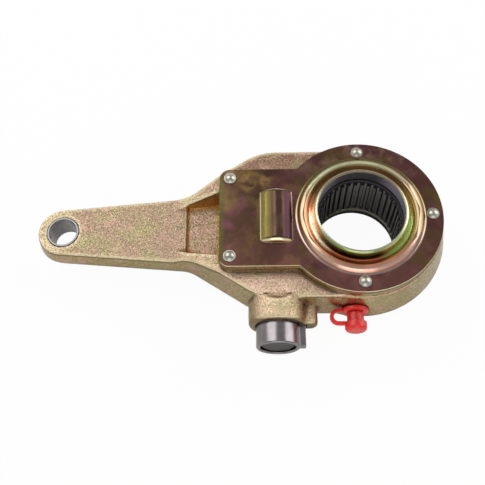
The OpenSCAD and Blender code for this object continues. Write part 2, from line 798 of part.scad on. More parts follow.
module worm_shaft() {
    chamfer_r = hex_af / 2 + hex_chamfer;
    color([0.3, 0.29, 0.31]) on_worm_axis() {
        translate([0, 0, -far_y + move_gap]) cylinder(r = shaft_r, h = far_y + seat_y + seat_t - move_gap);
        cylinder(r = neck_r, h = hex_foot_y + e);
        intersection() {
            translate([0, 0, hex_foot_y]) cylinder(r = hex_r, h = hex_len, $fn = 6);
            translate([0, 0, hex_y - hex_len])
                cylinder(r1 = chamfer_r + hex_len, r2 = chamfer_r, h = hex_len);
        }
    }
}

module thrust_washers() {
    color([0.62, 0.52, 0.3]) on_worm_axis() for (s = [0, 1])
        mirror([0, 0, s]) translate([0, 0, chamber_half - thrust_t])
            ring(shaft_r + move_gap, worm_root_r + thrust_land, thrust_t);
}

module lock_sleeve() {
    skirt_r = sleeve_r - skirt_wall;
    edge_y = sleeve_y - sleeve_chamfer;
    floor_y = hex_foot_y - move_gap;
    color([0.62, 0.6, 0.63]) on_worm_axis() {
        rotate_extrude() polygon([[skirt_r, skirt_y], [sleeve_r, skirt_y], [sleeve_r, edge_y],
            [sleeve_r - sleeve_chamfer, sleeve_y], [mouth_r + sleeve_chamfer, sleeve_y], [mouth_r, edge_y],
            [mouth_r, floor_y], [neck_r + move_gap, floor_y], [neck_r + move_gap, collar_y],
            [skirt_r, collar_y]]);
        translate([sleeve_r - skirt_wall / 2, -key_w / 2, skirt_y])
            cube([key_h + skirt_wall / 2, key_w, sleeve_len - sleeve_chamfer]);
    }
}

// Coil of round wire along +Z, from its section square to the axis.
module coil(mean_r, wire, turns, height) {
    pitch = (height - wire) / turns;
    widest_a = 170;
    half_a = min(widest_a, 180 * wire / pitch);
    steps = 8;
    slices_per_turn = 12;
    function angle(i) = half_a * (2 * i / steps - 1);
    function edge(i) = wire / 2 * sqrt(1 - pow(angle(i) / half_a, 2));
    drawn = height / pitch;
    linear_extrude(height, twist = -360 * drawn, slices = ceil(slices_per_turn * drawn), $fn = 12)
        polygon(concat([for (i = [0 : steps]) polar(mean_r + edge(i), angle(i))],
                       [for (i = [steps - 1 : -1 : 1]) polar(mean_r - edge(i), angle(i))]));
}

module lock_spring() {
    color([0.5, 0.5, 0.52]) on_worm_axis() translate([0, 0, seat_y + seat_t])
        coil(spring_r, spring_wire, spring_turns, spring_len);
}

module spring_seat() {
    color([0.55, 0.55, 0.56]) on_worm_axis() translate([0, 0, seat_y])
        ring(shaft_r + move_gap, sleeve_r - move_gap, seat_t);
}

module end_plug() {
    dish_r = (pow(plug_r, 2) + pow(plug_dish, 2)) / (2 * plug_dish);
    color([0.6, 0.52, 0.36]) on_worm_axis() translate([0, 0, -far_y]) mirror([0, 0, 1]) difference() {
        intersection() {
            cylinder(r = plug_r, h = plug_t + plug_dish);
            translate([0, 0, plug_t + plug_dish - dish_r]) sphere(dish_r);
        }
        translate([0, 0, plug_dish - dish_r]) sphere(dish_r);
    }
}

module at_nipple() {
    translate([-nipple_x, 0, 0]) along_y() children();
}

module grease_nipple() {
    neck = nipple_head_r - head_step;
    head_y = nipple_tip_y - head_h;
    color([0.75, 0.7, 0.5]) at_nipple() rotate_extrude() difference() {
        union() {
            translate([0, spot_y - nipple_shank])
                square([nipple_r, nipple_shank + cap_ring_t + 2 * move_gap]);
            polygon([[0, spot_y], [neck, spot_y], [neck, head_y - head_step], [nipple_head_r, head_y],
                     [nipple_head_r, nipple_tip_y - tip_taper], [nipple_head_r - tip_taper, nipple_tip_y],
                     [0, nipple_tip_y]]);
        }
        translate([0, spring_y]) square([grease_d / 2, ball_y - spring_y]);
        square([ball_d / 2 - seat_lap, nipple_tip_y + e]);
    }
}

module nipple_ball() {
    color([0.7, 0.7, 0.72]) at_nipple()
        translate([0, 0, ball_y - ball_d / 2 - slide_gap]) sphere(d = ball_d);
}

module nipple_spring() {
    mean_r = grease_d / 2 - ball_wire / 2 - slide_gap;
    color([0.6, 0.6, 0.62]) at_nipple() translate([0, 0, spring_y])
        coil(mean_r, ball_wire, ball_turns, ball_y - ball_d - 2 * slide_gap - spring_y);
}

module cap_ring() {
    color([0.8, 0.12, 0.12]) at_nipple() translate([0, 0, spot_y])
        ring(nipple_r + move_gap / 2, cap_ring_d / 2, cap_ring_t);
}

// Strap in one loop from the edge of the ring to the edge of the cap's head.
module cap_strap() {
    low = spot_y + cap_ring_t - strap_t / 2;
    high = cap_end_y - cap_head_h + strap_t / 2;
    bend_r = (high - low) / 2;
    end_x = cap_ring_d / 2 + strap_leg;
    color([0.8, 0.12, 0.12]) at_nipple() difference() {
        translate([0, strap_rise + strap_w / 2, 0]) rotate([90, 0, 0]) linear_extrude(strap_w) {
            translate([-end_x, (low + high) / 2]) difference() {
                circle(bend_r + strap_t / 2);
                circle(bend_r - strap_t / 2);
                translate([0, -over]) square([over, 2 * over]);
            }
            for (y = [low, high])
                translate([-end_x, y - strap_t / 2]) square([end_x, strap_t]);
        }
        translate([0, 0, low - strap_t]) cylinder(r = cap_ring_d / 2 + press_gap, h = 2 * strap_t);
        translate([0, 0, high - strap_t]) cylinder(r = cap_head_d / 2 + press_gap, h = 2 * strap_t);
    }
}

module dust_cap() {
    head_r = cap_head_d / 2;
    color([0.8, 0.12, 0.12]) at_nipple() rotate_extrude() difference() {
        union() {
            translate([0, cap_y]) square([cap_r, cap_end_y - cap_head_h / 2 - cap_y]);
            translate([0, cap_end_y - cap_head_h]) square([head_r, cap_head_h - cap_round]);
            translate([0, cap_end_y - cap_round]) square([head_r - cap_round, cap_round]);
            translate([head_r - cap_round, cap_end_y - cap_round]) circle(cap_round);
        }
        translate([0, cap_y - e]) square([cap_in_r, nipple_tip_y + move_gap - cap_y + e]);
    }
}

body();
lever_bush();
front_cover();
rear_cover();
front_gasket();
rear_gasket();
cover_rivets();
worm_wheel();
front_seal();
rear_seal();
worm();
worm_shaft();
thrust_washers();
lock_sleeve();
lock_spring();
spring_seat();
end_plug();
grease_nipple();
nipple_ball();
nipple_spring();
cap_ring();
cap_strap();
dust_cap();
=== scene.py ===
"""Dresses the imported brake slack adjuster: cast body, plated covers, steel parts and a red grease cap."""

import math

import bmesh
import bpy
import numpy as np
from mathutils import Matrix, Vector, noise


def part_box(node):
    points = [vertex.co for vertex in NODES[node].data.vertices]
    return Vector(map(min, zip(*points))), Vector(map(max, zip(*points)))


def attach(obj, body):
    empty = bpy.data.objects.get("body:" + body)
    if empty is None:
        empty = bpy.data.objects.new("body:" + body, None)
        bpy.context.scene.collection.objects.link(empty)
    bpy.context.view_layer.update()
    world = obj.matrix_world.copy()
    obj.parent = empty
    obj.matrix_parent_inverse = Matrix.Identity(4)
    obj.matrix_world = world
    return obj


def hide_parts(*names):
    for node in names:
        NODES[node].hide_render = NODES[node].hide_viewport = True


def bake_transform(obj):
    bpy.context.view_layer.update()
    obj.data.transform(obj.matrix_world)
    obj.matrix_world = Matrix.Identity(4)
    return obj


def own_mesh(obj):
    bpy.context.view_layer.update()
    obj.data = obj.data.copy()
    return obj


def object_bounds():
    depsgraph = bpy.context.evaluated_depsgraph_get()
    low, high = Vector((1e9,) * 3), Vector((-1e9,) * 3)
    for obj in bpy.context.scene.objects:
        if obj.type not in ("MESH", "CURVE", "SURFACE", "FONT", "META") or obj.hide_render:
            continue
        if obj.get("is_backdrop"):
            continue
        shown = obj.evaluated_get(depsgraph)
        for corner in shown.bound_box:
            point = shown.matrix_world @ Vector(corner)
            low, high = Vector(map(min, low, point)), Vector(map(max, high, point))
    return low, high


bl_info = {
    "name": "Brake slack adjuster",
    "version": (1, 0, 0),
    "blender": (4, 5, 0),
    "location": "3D View > Sidebar > Slack adjuster",
    "description": "Finishes, casting skin and studio of a manual brake slack adjuster",
    "category": "Object",
}

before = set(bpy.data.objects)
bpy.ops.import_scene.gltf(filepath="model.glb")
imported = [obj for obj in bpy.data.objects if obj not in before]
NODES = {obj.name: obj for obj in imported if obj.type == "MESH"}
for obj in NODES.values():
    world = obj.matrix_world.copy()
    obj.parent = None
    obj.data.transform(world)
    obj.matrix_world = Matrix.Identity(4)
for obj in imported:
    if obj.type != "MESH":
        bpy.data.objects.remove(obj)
CAD_LOW, CAD_HIGH = (list(corner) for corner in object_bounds())
MM = 0.001
SHARP_ANGLE = math.radians(38)
# Names of the casting's mesh attributes: how far its rounding moved a point in, or would with more passes
SUNK = "sunk"
FORM = "form"


def colour_property(name, description, default):
    return bpy.props.FloatVectorProperty(
        name=name, description=description, subtype="COLOR", size=3, min=0, max=1, default=default)


def length_property(name, description, default):
    return bpy.props.FloatProperty(
        name=name, description=description, unit="LENGTH", precision=5, default=default)


def share_property(name, description, default):
    return bpy.props.FloatProperty(
        name=name, description=description, subtype="FACTOR", min=0, max=1, default=default)


class CastingSettings(bpy.types.PropertyGroup):
    mesh_size: length_property("Mesh size", "Edge length of the casting's skin", 0.6 * MM)
    rounding: bpy.props.IntProperty(
        name="Rounding", description="Smoothing passes that round the cast edges", min=0, max=40, default=5)
    grain_depth: length_property("Grain depth", "Height of the sand-cast grain in the mesh", 0.08 * MM)
    form_passes: bpy.props.IntProperty(
        name="Form passes", description="Smoothing passes that tell broad edges from hollows",
        min=0, max=80, default=36)
    # Boss, front, lit and back colours: the open faces lighter towards the front and darker towards the
    # back, as painted light and shade
    boss_colour: colour_property("Boss plating", "Plating on the boss", (0.74, 0.58, 0.34))
    near_light_colour: colour_property(
        "Front plating", "Plating on the open faces before the cover", (0.90, 0.63, 0.48))
    top_colour: colour_property("Lit plating", "Plating on the open faces of the arm", (0.49, 0.345, 0.23))
    far_shade_colour: colour_property(
        "Back plating", "Plating on the open faces behind the cover", (0.27, 0.145, 0.095))
    wall_colour: colour_property("Wall plating", "Plating on the side walls", (0.43, 0.33, 0.15))
    # Painted highlight on the broad edges' upward faces, painted shade on their walls and in the broad
    # hollows
    broad_highlight_colour: colour_property("Bright forms", "Plating on the broad edges", (0.82, 0.68, 0.42))
    broad_shade_colour: colour_property("Dim forms", "Plating in the broad hollows", (0.19, 0.125, 0.06))
    boss_place: length_property("Boss place", "Middle of the boss across the arm", -56.0 * MM)
    near_place: length_property("Front place", "Middle of the front shoulder across the arm", -34.0 * MM)
    far_place: length_property("Back place", "Edge of the back shoulder across the arm", 37.0 * MM)
    arm_width: length_property("Arm half width", "Half the width of the arm", 14.0 * MM)
    # Painted shade in the hollow creases
    crease_shade_colour: colour_property(
        "Hollow plating", "Plating that pooled in the hollow corners", (0.10, 0.062, 0.03))
    shade_colour: colour_property("Shaded plating", "Plating under the cover's edge", (0.12, 0.075, 0.04))
    pocket_colour: colour_property(
        "Pocket plating", "Orange plating pooled beside the ribs", (0.46, 0.21, 0.045))
    pocket_place: length_property("Pocket place", "Middle of the ribs along the arm", -80.0 * MM)
    pocket_reach: length_property("Pocket reach", "Half the length of the ribs", 11.0 * MM)
    pocket_width: length_property("Pocket half width", "Half the width of the stained slopes", 16.0 * MM)
    green_tint: colour_property("Green tint", "Greenish patches of the plating", (0.46, 0.46, 0.19))
    pink_tint: colour_property("Pink tint", "Pinkish patches of the plating", (0.72, 0.42, 0.35))
    light_grain: colour_property("Light grain", "Bright grains of the cast skin", (0.90, 0.74, 0.56))
    dark_grain: colour_property("Dark grain", "Dark pits of the cast skin", (0.20, 0.13, 0.07))
    # Rubbed plating and painted highlight along the edges of upward faces
    worn_and_highlight_colour: colour_property("Worn edges", "Rubbed plating along the edges", (0.95, 0.83, 0.58))
    roughness: share_property("Roughness", "Roughness of the plated casting", 0.34)


class CoverSettings(bpy.types.PropertyGroup):
    edge_round: length_property("Edge rounding", "Rounding of the sheet's edges", 0.6 * MM)
    # Plate colours: dark plating, lighter towards the front and round the bore as painted reflection
    plate_colour: colour_property(
        "Plate", "Dark plating of the flat sheet by the arm", (0.088, 0.047, 0.032))
    front_colour: colour_property("Plate, front", "The same towards the front", (0.145, 0.070, 0.048))
    round_colour: colour_property(
        "Round plate", "Plating of the flat sheet round the bore", (0.185, 0.078, 0.074))
    near_light_colour: colour_property("Round plate, front", "The same towards the front", (0.29, 0.125, 0.108))
    olive_colour: colour_property("Olive patches", "Olive patches of the plating", (0.20, 0.130, 0.048))
    purple_colour: colour_property("Purple patches", "Purple patches of the plating", (0.18, 0.065, 0.086))
    corner_colour: colour_property(
        "Olive corner", "Olive plating of the corner by the arm", (0.34, 0.21, 0.075))
    mottle_colour: colour_property("Mottling", "Lighter mottling of the far edge", (0.42, 0.26, 0.17))
    moss_colour: colour_property(
        "Green end", "Green plating along the end by the arm", (0.085, 0.088, 0.030))
    # Gold painted highlight on the rounded edges, and painted dark reflection on the upright sides of the
    # sheet
    gold_highlight_colour: colour_property(
        "Gold edges", "Plating on the rounded edges of the sheet", (1.0, 0.88, 0.52))
    side_shade_colour: colour_property(
        "Sheet side", "Dark plating on the upright sides of the sheet", (0.16, 0.11, 0.045))
    # Lip colours: painted highlights on the rim, the sides and the inside's sides, painted shade inside and
    # painted shadow at the foot
    lip_rim_highlight_colour: colour_property("Lip", "Pale lime plating of the lip's edge", (0.80, 0.82, 0.55))
    green_colour: colour_property(
        "Lip outside", "Green plating where the lip bends down", (0.30, 0.38, 0.13))
    bore_shade_colour: colour_property("Lip inside", "Dark inside of the lip", (0.07, 0.062, 0.066))
    lilac_highlight_colour: colour_property(
        "Lip inside, sides", "Lilac inside of the lip at both sides", (0.34, 0.30, 0.38))
    lip_foot_shadow_colour: colour_property(
        "Lip foot", "Dark outside of the lip towards its foot", (0.030, 0.028, 0.020))
    cream_highlight_colour: colour_property("Lip, arm side", "Cream side of the lip", (0.98, 0.90, 0.74))
    leaf_highlight_colour: colour_property("Lip, far side", "Lime side of the lip", (0.62, 0.72, 0.34))
    # Ring colours: iridescent tints, lighter or darker by side of the bore as painted highlight and shade
    warm_colour: colour_property(
        "Warm ring", "Salmon plating of the ring's inner slope", (0.88, 0.36, 0.20))
    tan_colour: colour_property("Tan ring", "Tan plating of the far inner slope", (0.30, 0.19, 0.09))
    pink_highlight_colour: colour_property("Pink ring", "Pink plating of the ring's crest", (0.85, 0.55, 0.46))
    lime_highlight_colour: colour_property("Lime ring", "Lime plating of the ring's crest", (0.95, 1.0, 0.60))
    # Bronze: tint of the crest at both sides and of the lip's back, darker there as painted shade
    bronze_colour: colour_property(
        "Bronze ring", "Bronze plating of the crest at both sides", (0.46, 0.37, 0.25))
    # Outer flank of the ring: brown as painted shade, rose towards the front as painted highlight
    flank_colour: colour_property(
        "Ring flank", "Brown plating outside the raised ring", (0.17, 0.12, 0.055))
    rose_colour: colour_property(
        "Ring flank, front", "Rose plating outside the ring's front", (0.42, 0.24, 0.21))
    # Lines at the ring's foot, front and back: painted highlight
    foot_highlight_colour: colour_property(
        "Ring foot", "Pale plating at the front foot of the ring", (0.62, 0.45, 0.38))
    back_foot_highlight_colour: colour_property(
        "Ring foot, back", "Olive gold plating at the back foot of the ring", (0.30, 0.23, 0.09))
    # Blister colours: tints whose light and dark bands across the blister are painted reflection
    blister_olive: colour_property("Blister, arm side", "Olive side of the blister", (0.33, 0.26, 0.085))
    blister_moss: colour_property(
        "Blister, shoulder", "Darker olive beside the olive side", (0.12, 0.095, 0.028))
    blister_brown: colour_property(
        "Blister, arm half", "Brown top of the blister towards the arm", (0.060, 0.035, 0.024))
    blister_tan: colour_property(
        "Blister, bore half", "Lighter brown top towards the bore", (0.155, 0.090, 0.062))
    blister_purple: colour_property(
        "Blister, bore side", "Purple side of the blister", (0.058, 0.027, 0.035))
    lip_radius: length_property("Lip radius", "Where the lip meets the groove", 24.2 * MM)
    lip_bend: length_property("Lip bend", "Height over which the lip bends inwards", 3.9 * MM)
    ring_radius: length_property("Ring radius", "Middle of the raised ring", 28.1 * MM)
    foot_radius: length_property("Foot radius", "Foot of the raised ring", 31.4 * MM)
    sheet_top: length_property("Sheet top", "Height of the flat sheet's outer face", 17.5 * MM)
    arm_end: length_property("Arm end", "End of the cover by the arm", -69.0 * MM)
    arm_tone: length_property("Arm tone", "Where the arm's tone of the sheet ends", -52.0 * MM)
    bore_tone: length_property("Bore tone", "Where the tone round the bore is full", -28.0 * MM)
    middle_tone: length_property("Middle tone", "Where the tone of the sheet's middle ends", -8.0 * MM)
    front_tone: length_property("Front tone", "Where the tone of the sheet's front is full", -26.0 * MM)
    corner_x: length_property("Corner along", "Middle of the olive corner along the arm", -50.0 * MM)
    corner_y: length_property("Corner across", "Middle of the olive corner across the arm", 19.0 * MM)
    mottle_start: length_property("Mottling begins", "Where the far edge's mottling begins", 16.0 * MM)
    mottle_full: length_property("Mottling full", "Where the far edge's mottling is full", 34.0 * MM)
    far_highlight_line: length_property("Far line", "Height of the bright line inside the rear lip", 18.1 * MM)
    blister_place: length_property("Blister place", "Middle of the blister along the arm", -41.1 * MM)
    blister_width: length_property("Blister width", "Width of the blister", 15.7 * MM)
    blister_length: length_property("Blister length", "Length of the blister", 28.6 * MM)
    roughness: share_property("Roughness", "Roughness of the plated sheet", 0.22)


class SteelSettings(bpy.types.PropertyGroup):
    edge_round: length_property("Edge rounding", "Rounding of the turned edges", 0.3 * MM)
    sleeve_colour: colour_property("Sleeve", "Turned steel of the lock sleeve", (0.31, 0.28, 0.29))
    bush_colour: colour_property("Bush", "Steel of the eye's bush", (0.30, 0.285, 0.29))
    wheel_colour: colour_property("Wheel", "Oiled steel of the splined wheel", (0.26, 0.250, 0.240))
    # Painted light that lifts the shaded floors of the tooth spaces
    floor_colour: colour_property(
        "Tooth spaces", "Steel at the bottom of the spline's spaces", (0.36, 0.35, 0.335))
    # Painted shade on the flanks of the teeth
    flank_colour: colour_property(
        "Tooth flanks", "Dark flanks of the spline's teeth", (0.015, 0.014, 0.013))
    # Painted dark reflection on the smooth lead-in
    lead_colour: colour_property("Lead-in", "Smooth steel before the spline's teeth", (0.10, 0.09, 0.105))
    floor_radius: length_property("Tooth floors", "Radius at the bottom of the spline's spaces", 20.4 * MM)
    # Dark steel, made darker still as painted shade deep in the sleeve's mouth
    shaft_colour: colour_property("Shaft", "Dark steel of the adjusting hexagon", (0.065, 0.060, 0.058))
    rivet_colour: colour_property("Rivets", "Bright steel of the rivets", (0.56, 0.54, 0.46))
    spring_colour: colour_property("Springs", "Drawn wire of the springs", (0.30, 0.30, 0.32))
    brass_colour: colour_property("Brass", "Brass of the nipple and the washers", (0.55, 0.42, 0.18))
    rubber_colour: colour_property("Rubber", "Rubber of the gaskets and seals", (0.018, 0.017, 0.016))


class CapSettings(bpy.types.PropertyGroup):
    edge_round: length_property("Edge rounding", "Rounding of the moulded edges", 0.5 * MM)
    red_colour: colour_property("Red", "Plastic of the grease cap", (0.92, 0.04, 0.033))
    glow_depth: length_property("Glow depth", "How deep light wanders in the plastic", 2.5 * MM)
    roughness: share_property("Roughness", "Roughness of the moulded plastic", 0.28)


class StageSettings(bpy.types.PropertyGroup):
    floor_colour: colour_property("Floor", "Pale floor under the part", (0.93, 0.93, 0.93))
    floor_glow: share_property(
        "Floor glow", "Share of plain white in the floor that the camera sees", 0.955)
    camera_place: bpy.props.FloatVectorProperty(
        name="Camera place", description="Where the camera stands", subtype="XYZ", unit="LENGTH", size=3,
        default=(-0.04597, -0.16788, 0.35286))
    camera_ahead: bpy.props.FloatVectorProperty(
        name="Camera direction", description="Where the camera looks", subtype="DIRECTION", size=3,
        default=(-0.03151, 0.41659, -0.90855))
    camera_right: bpy.props.FloatVectorProperty(
        name="Camera right", description="Direction to the picture's right", subtype="DIRECTION", size=3,
        default=(0.99942, 0.00152, -0.03396))
    lens: bpy.props.FloatProperty(
        name="Lens", description="Focal length of the camera, in millimetres", subtype="DISTANCE_CAMERA",
        default=56.88)
    sky_light: bpy.props.FloatProperty(
        name="Sky light", description="Strength of the even light from above", min=0, default=0.36)
    wall_light: bpy.props.FloatProperty(
        name="Wall light", description="Strength of the even light from the studio's walls",
        min=0, default=0.64)
    box_light: bpy.props.FloatProperty(
        name="Softbox light", description="Radiance of the softboxes", min=0, default=2.1)


def fill(tree, socket, value):
    """Puts a link, a number or a colour on an input."""
    if isinstance(value, bpy.types.NodeSocket):
        tree.links.new(value, socket)
    elif socket.type == "RGBA":
        socket.default_value = (*value[:3], 1)
    else:
        socket.default_value = value


def add_node(tree, kind, inputs=None, **settings):
    """A new node with its settings, and with values or links on its inputs."""
    made = tree.nodes.new(kind)
    for key, value in settings.items():
        setattr(made, key, value)
    for key, value in (inputs or {}).items():
        fill(tree, made.inputs[key], value)
    return made


def feed(shader, **sockets):
    """Puts links or values on a shader's sockets, in whose names _ stands for a space."""
    for key, value in sockets.items():
        fill(shader.id_data, shader.inputs[key.replace("_", " ")], value)


def maths(tree, operation, a, b=0.0, clamp=False):
    return add_node(tree, "ShaderNodeMath", {0: a, 1: b}, operation=operation, use_clamp=clamp).outputs[0]


def times(tree, a, b):
    return maths(tree, "MULTIPLY", a, b)


def minus(tree, a, b, clamp=False):
    return maths(tree, "SUBTRACT", a, b, clamp)


def over(tree, a, b):
    return maths(tree, "DIVIDE", a, b)


def larger(tree, a, b):
    return maths(tree, "MAXIMUM", a, b)


def size_of(tree, value):
    """A value without its sign."""
    return maths(tree, "ABSOLUTE", value)


def weighed(tree, a, weight_a, b, weight_b):
    """The sum of two values, each times its weight."""
    return maths(tree, "ADD", times(tree, a, weight_a), times(tree, b, weight_b))


def length_of(tree, a, b):
    """How long a flat vector is."""
    return maths(tree, "SQRT", weighed(tree, a, a, b, b))


def remap(tree, value, low, high, to_low=0.0, to_high=1.0):
    """Goes softly from one outcome at low to the other at high."""
    inputs = {"Value": value, "From Min": low, "From Max": high, "To Min": to_low, "To Max": to_high}
    return add_node(tree, "ShaderNodeMapRange", inputs, interpolation_type="SMOOTHSTEP").outputs[0]


def spread(tree, mask, low, high):
    """A value between low and high, by a mask."""
    return remap(tree, mask, 0.0, 1.0, low, high)


def inside(tree, value, middle, half, soft):
    """1 where a value lies within half of the middle, with soft limits."""
    return remap(tree, size_of(tree, minus(tree, value, middle)), half + soft, half - soft)


def mix_colour(tree, factor, a, b, share=None):
    """Colour a that turns into b with the factor, or with a share of it."""
    amount = factor if share is None else times(tree, factor, share)
    return add_node(tree, "ShaderNodeMix", {0: amount, 6: a, 7: b}, data_type="RGBA").outputs[2]


def ramp(tree, value, stops):
    """Colour by a value, between (value, colour) stops."""
    low, high = stops[0][0], stops[-1][0]
    along = add_node(tree, "ShaderNodeMapRange", {"Value": value, "From Min": low, "From Max": high})
    made = add_node(tree, "ShaderNodeValToRGB", {"Fac": along.outputs[0]})
    marks = made.color_ramp.elements
    while len(marks) < len(stops):
        marks.new(0.5)
    for mark, (at, colour) in zip(marks, stops):
        mark.position = (at - low) / (high - low)
        mark.color = (*colour, 1)
    return made.outputs["Color"]


def place(tree):
    return add_node(tree, "ShaderNodeTexCoord").outputs["Object"]


def surface_normal(tree):
    return add_node(tree, "ShaderNodeNewGeometry").outputs["Normal"]


def attribute(tree, name):
    return add_node(tree, "ShaderNodeAttribute", attribute_name=name).outputs["Fac"]


def parts(tree, vector):
    """The X, Y and Z of a vector."""
    return add_node(tree, "ShaderNodeSeparateXYZ", {0: vector}).outputs


def speckle(tree, scale, detail, rough, distortion=0.0):
    inputs = {"Vector": place(tree), "Scale": scale, "Detail": detail, "Roughness": rough,
              "Distortion": distortion}
    return add_node(tree, "ShaderNodeTexNoise", inputs).outputs["Fac"]


SOCKETS = {float: "NodeSocketFloat", tuple: "NodeSocketColor"}


def shader_group(name, inputs, outputs, build):
    """A node group with named sockets; build takes the tree and the inputs and returns the outputs."""
    tree = bpy.data.node_groups.new(name, "ShaderNodeTree")
    for key, value in inputs.items():
        socket = tree.interface.new_socket(name=key, in_out="INPUT", socket_type=SOCKETS[type(value)])
        socket.default_value = value if isinstance(value, float) else (*value, 1)
    for key, kind in outputs.items():
        tree.interface.new_socket(name=key, in_out="OUTPUT", socket_type=SOCKETS[kind])
    entry = tree.nodes.new("NodeGroupInput")
    leave = tree.nodes.new("NodeGroupOutput")
    results = build(tree, {key: entry.outputs[key] for key in inputs})
    for key in outputs:
        tree.links.new(results[key], leave.inputs[key])
    return tree


def sand_grain(tree, given):
    """Fine grain with dents, as a height and as a mask, and coarse patches."""
    fine = speckle(tree, given["Fine scale"], detail=5.0, rough=0.7)
    coarse = speckle(tree, given["Coarse scale"], detail=3.0, rough=0.55)
    cells = {"Vector": place(tree), "Scale": given["Fine scale"]}
    dents = remap(tree, add_node(tree, "ShaderNodeTexVoronoi", cells).outputs["Distance"], 0.0, 0.5)
    height = weighed(tree, fine, 0.6, dents, 0.4)
    grains = remap(tree, fine, 0.3, 0.7)
    return {"Height": height, "Fine": grains, "Patches": remap(tree, coarse, 0.35, 0.65)}


SECOND_PATCH_SCALE = 1.37


def plating_tint(tree, given):
    """Patches of two tints over a colour."""
    other_scale = times(tree, given["Patch scale"], SECOND_PATCH_SCALE)
    first = remap(tree, speckle(tree, given["Patch scale"], 3.0, 0.55, distortion=0.4), 0.46, 0.68)
    second = remap(tree, speckle(tree, other_scale, 3.0, 0.55, distortion=0.7), 0.48, 0.7)
    once = mix_colour(tree, first, given["Colour"], given["First tint"], share=given["Amount"])
    return {"Colour": mix_colour(tree, second, once, given["Second tint"], share=given["Amount"])}


def edge_mask(tree, given):
    """1 along edges that are sharper than the radius."""
    rounded_off = add_node(tree, "ShaderNodeBevel", {"Radius": given["Radius"]}, samples=6).outputs[0]
    both = {0: rounded_off, 1: surface_normal(tree)}
    facing = add_node(tree, "ShaderNodeVectorMath", both, operation="DOT_PRODUCT").outputs["Value"]
    return {"Edge": remap(tree, minus(tree, 1.0, facing), 0.01, 0.16)}


def recess_mask(tree, given):
    """1 where the surface is closed in within the depth."""
    open_sky = add_node(tree, "ShaderNodeAmbientOcclusion", {"Distance": given["Depth"]}, samples=8)
    return {"Recess": remap(tree, open_sky.outputs["AO"], 0.85, 0.25)}


def turning_lines(tree, given):
    """Fine lines round an axis along Y."""
    along = times(tree, parts(tree, place(tree))["Y"], given["Line scale"])
    lines = {"W": along, "Scale": 1.0, "Detail": 3.0}
    return {"Height": add_node(tree, "ShaderNodeTexNoise", lines, noise_dimensions="1D").outputs["Fac"]}


GROUPS = {}


def make_groups():
    """The effects that several finishes share."""
    GROUPS["grain"] = shader_group(
        "sand grain", {"Fine scale": 900.0, "Coarse scale": 120.0},
        {"Height": float, "Fine": float, "Patches": float}, sand_grain)
    GROUPS["tint"] = shader_group(
        "plating tint",
        {"Colour": (0.5, 0.4, 0.3), "First tint": (0.4, 0.4, 0.2), "Second tint": (0.5, 0.3, 0.3),
         "Patch scale": 90.0, "Amount": 0.5},
        {"Colour": tuple}, plating_tint)
    GROUPS["edge"] = shader_group("edge mask", {"Radius": 0.5 * MM}, {"Edge": float}, edge_mask)
    GROUPS["recess"] = shader_group("recess mask", {"Depth": 6 * MM}, {"Recess": float}, recess_mask)
    GROUPS["turning"] = shader_group(
        "turning lines", {"Line scale": 4000.0}, {"Height": float}, turning_lines)


def use_group(tree, key, inputs):
    return add_node(tree, "ShaderNodeGroup", inputs, node_tree=GROUPS[key]).outputs


def new_finish(name, **sockets):
    """A material with one Principled shader and the given constants on its sockets."""
    material = bpy.data.materials.new(name)
    material.use_nodes = True
    tree = material.node_tree
    tree.nodes.clear()
    shader = tree.nodes.new("ShaderNodeBsdfPrincipled")
    leave = tree.nodes.new("ShaderNodeOutputMaterial")
    tree.links.new(shader.outputs[0], leave.inputs["Surface"])
    feed(shader, **sockets)
    return material, tree, shader


def bump(tree, shader, height, strength, distance):
    made = add_node(tree, "ShaderNodeBump", {"Height": height, "Strength": strength, "Distance": distance})
    feed(shader, Normal=made.outputs[0])


def wear(obj, material):
    """Gives every face of an object one finish."""
    obj.data.materials.clear()
    obj.data.materials.append(material)


def scaled(colour, share):
    return [share * part for part in colour]


CAST_GRAIN = {"Fine scale": 1200.0, "Coarse scale": 140.0}
CAST_PATCHES = {"Patch scale": 85.0, "Amount": 0.5}
CAST_GRAIN_HEIGHT = 0.5 * MM
RECESS_DEPTH = 7 * MM
RIB_SOFT = 1 * MM
# Limits of masks by a face's lift, which is 1 on level faces and 0 on upright ones
OPEN_LIFT = (0.35, 0.85)
UPPER_LIFT = (0.55, 0.8)
SLOPE_LIFT = (0.9, 0.6)
# Limits of the bright and the dark grains, and how much smoother the bright ones are
BRIGHT_GRAINS = (0.55, 1.0)
DARK_GRAINS = (0.45, 0.05)
GRAIN_GLINT = 0.2
# Change of the roughness on the side walls and on the open faces, and the share of the grain on the walls
WALL_ROUGHNESS = -0.06
FACE_ROUGHNESS = 0.10
WALL_SAND = 0.25
# Limits of the masks for hollows and edges: how far the rounding moved a point in, or would move it
HOLLOW_SUNK = (-0.03 * MM, -0.16 * MM)
EDGE_SUNK = (0.04 * MM, 0.20 * MM)
BROAD_EDGE = (0.08 * MM, 0.5 * MM)
BROAD_HOLLOW = (-0.1 * MM, -0.6 * MM)


def casting_skin(tree, given, spot, open_face):
    """Plating of the side walls and of the open faces; across the arm the open faces are lighter towards
    the front and darker towards the back as painted light and shade.
    """
    skin = ramp(tree, spot["Y"], (
        (given.boss_place, given.boss_colour), (given.near_place, given.near_light_colour),
        (-given.arm_width, given.top_colour), (given.arm_width, given.top_colour),
        (given.far_place, given.far_shade_colour)))
    base = mix_colour(tree, open_face, given.wall_colour, skin)
    tints = {"Colour": base, "First tint": given.green_tint, "Second tint": given.pink_tint, **CAST_PATCHES}
    return use_group(tree, "tint", tints)["Colour"]


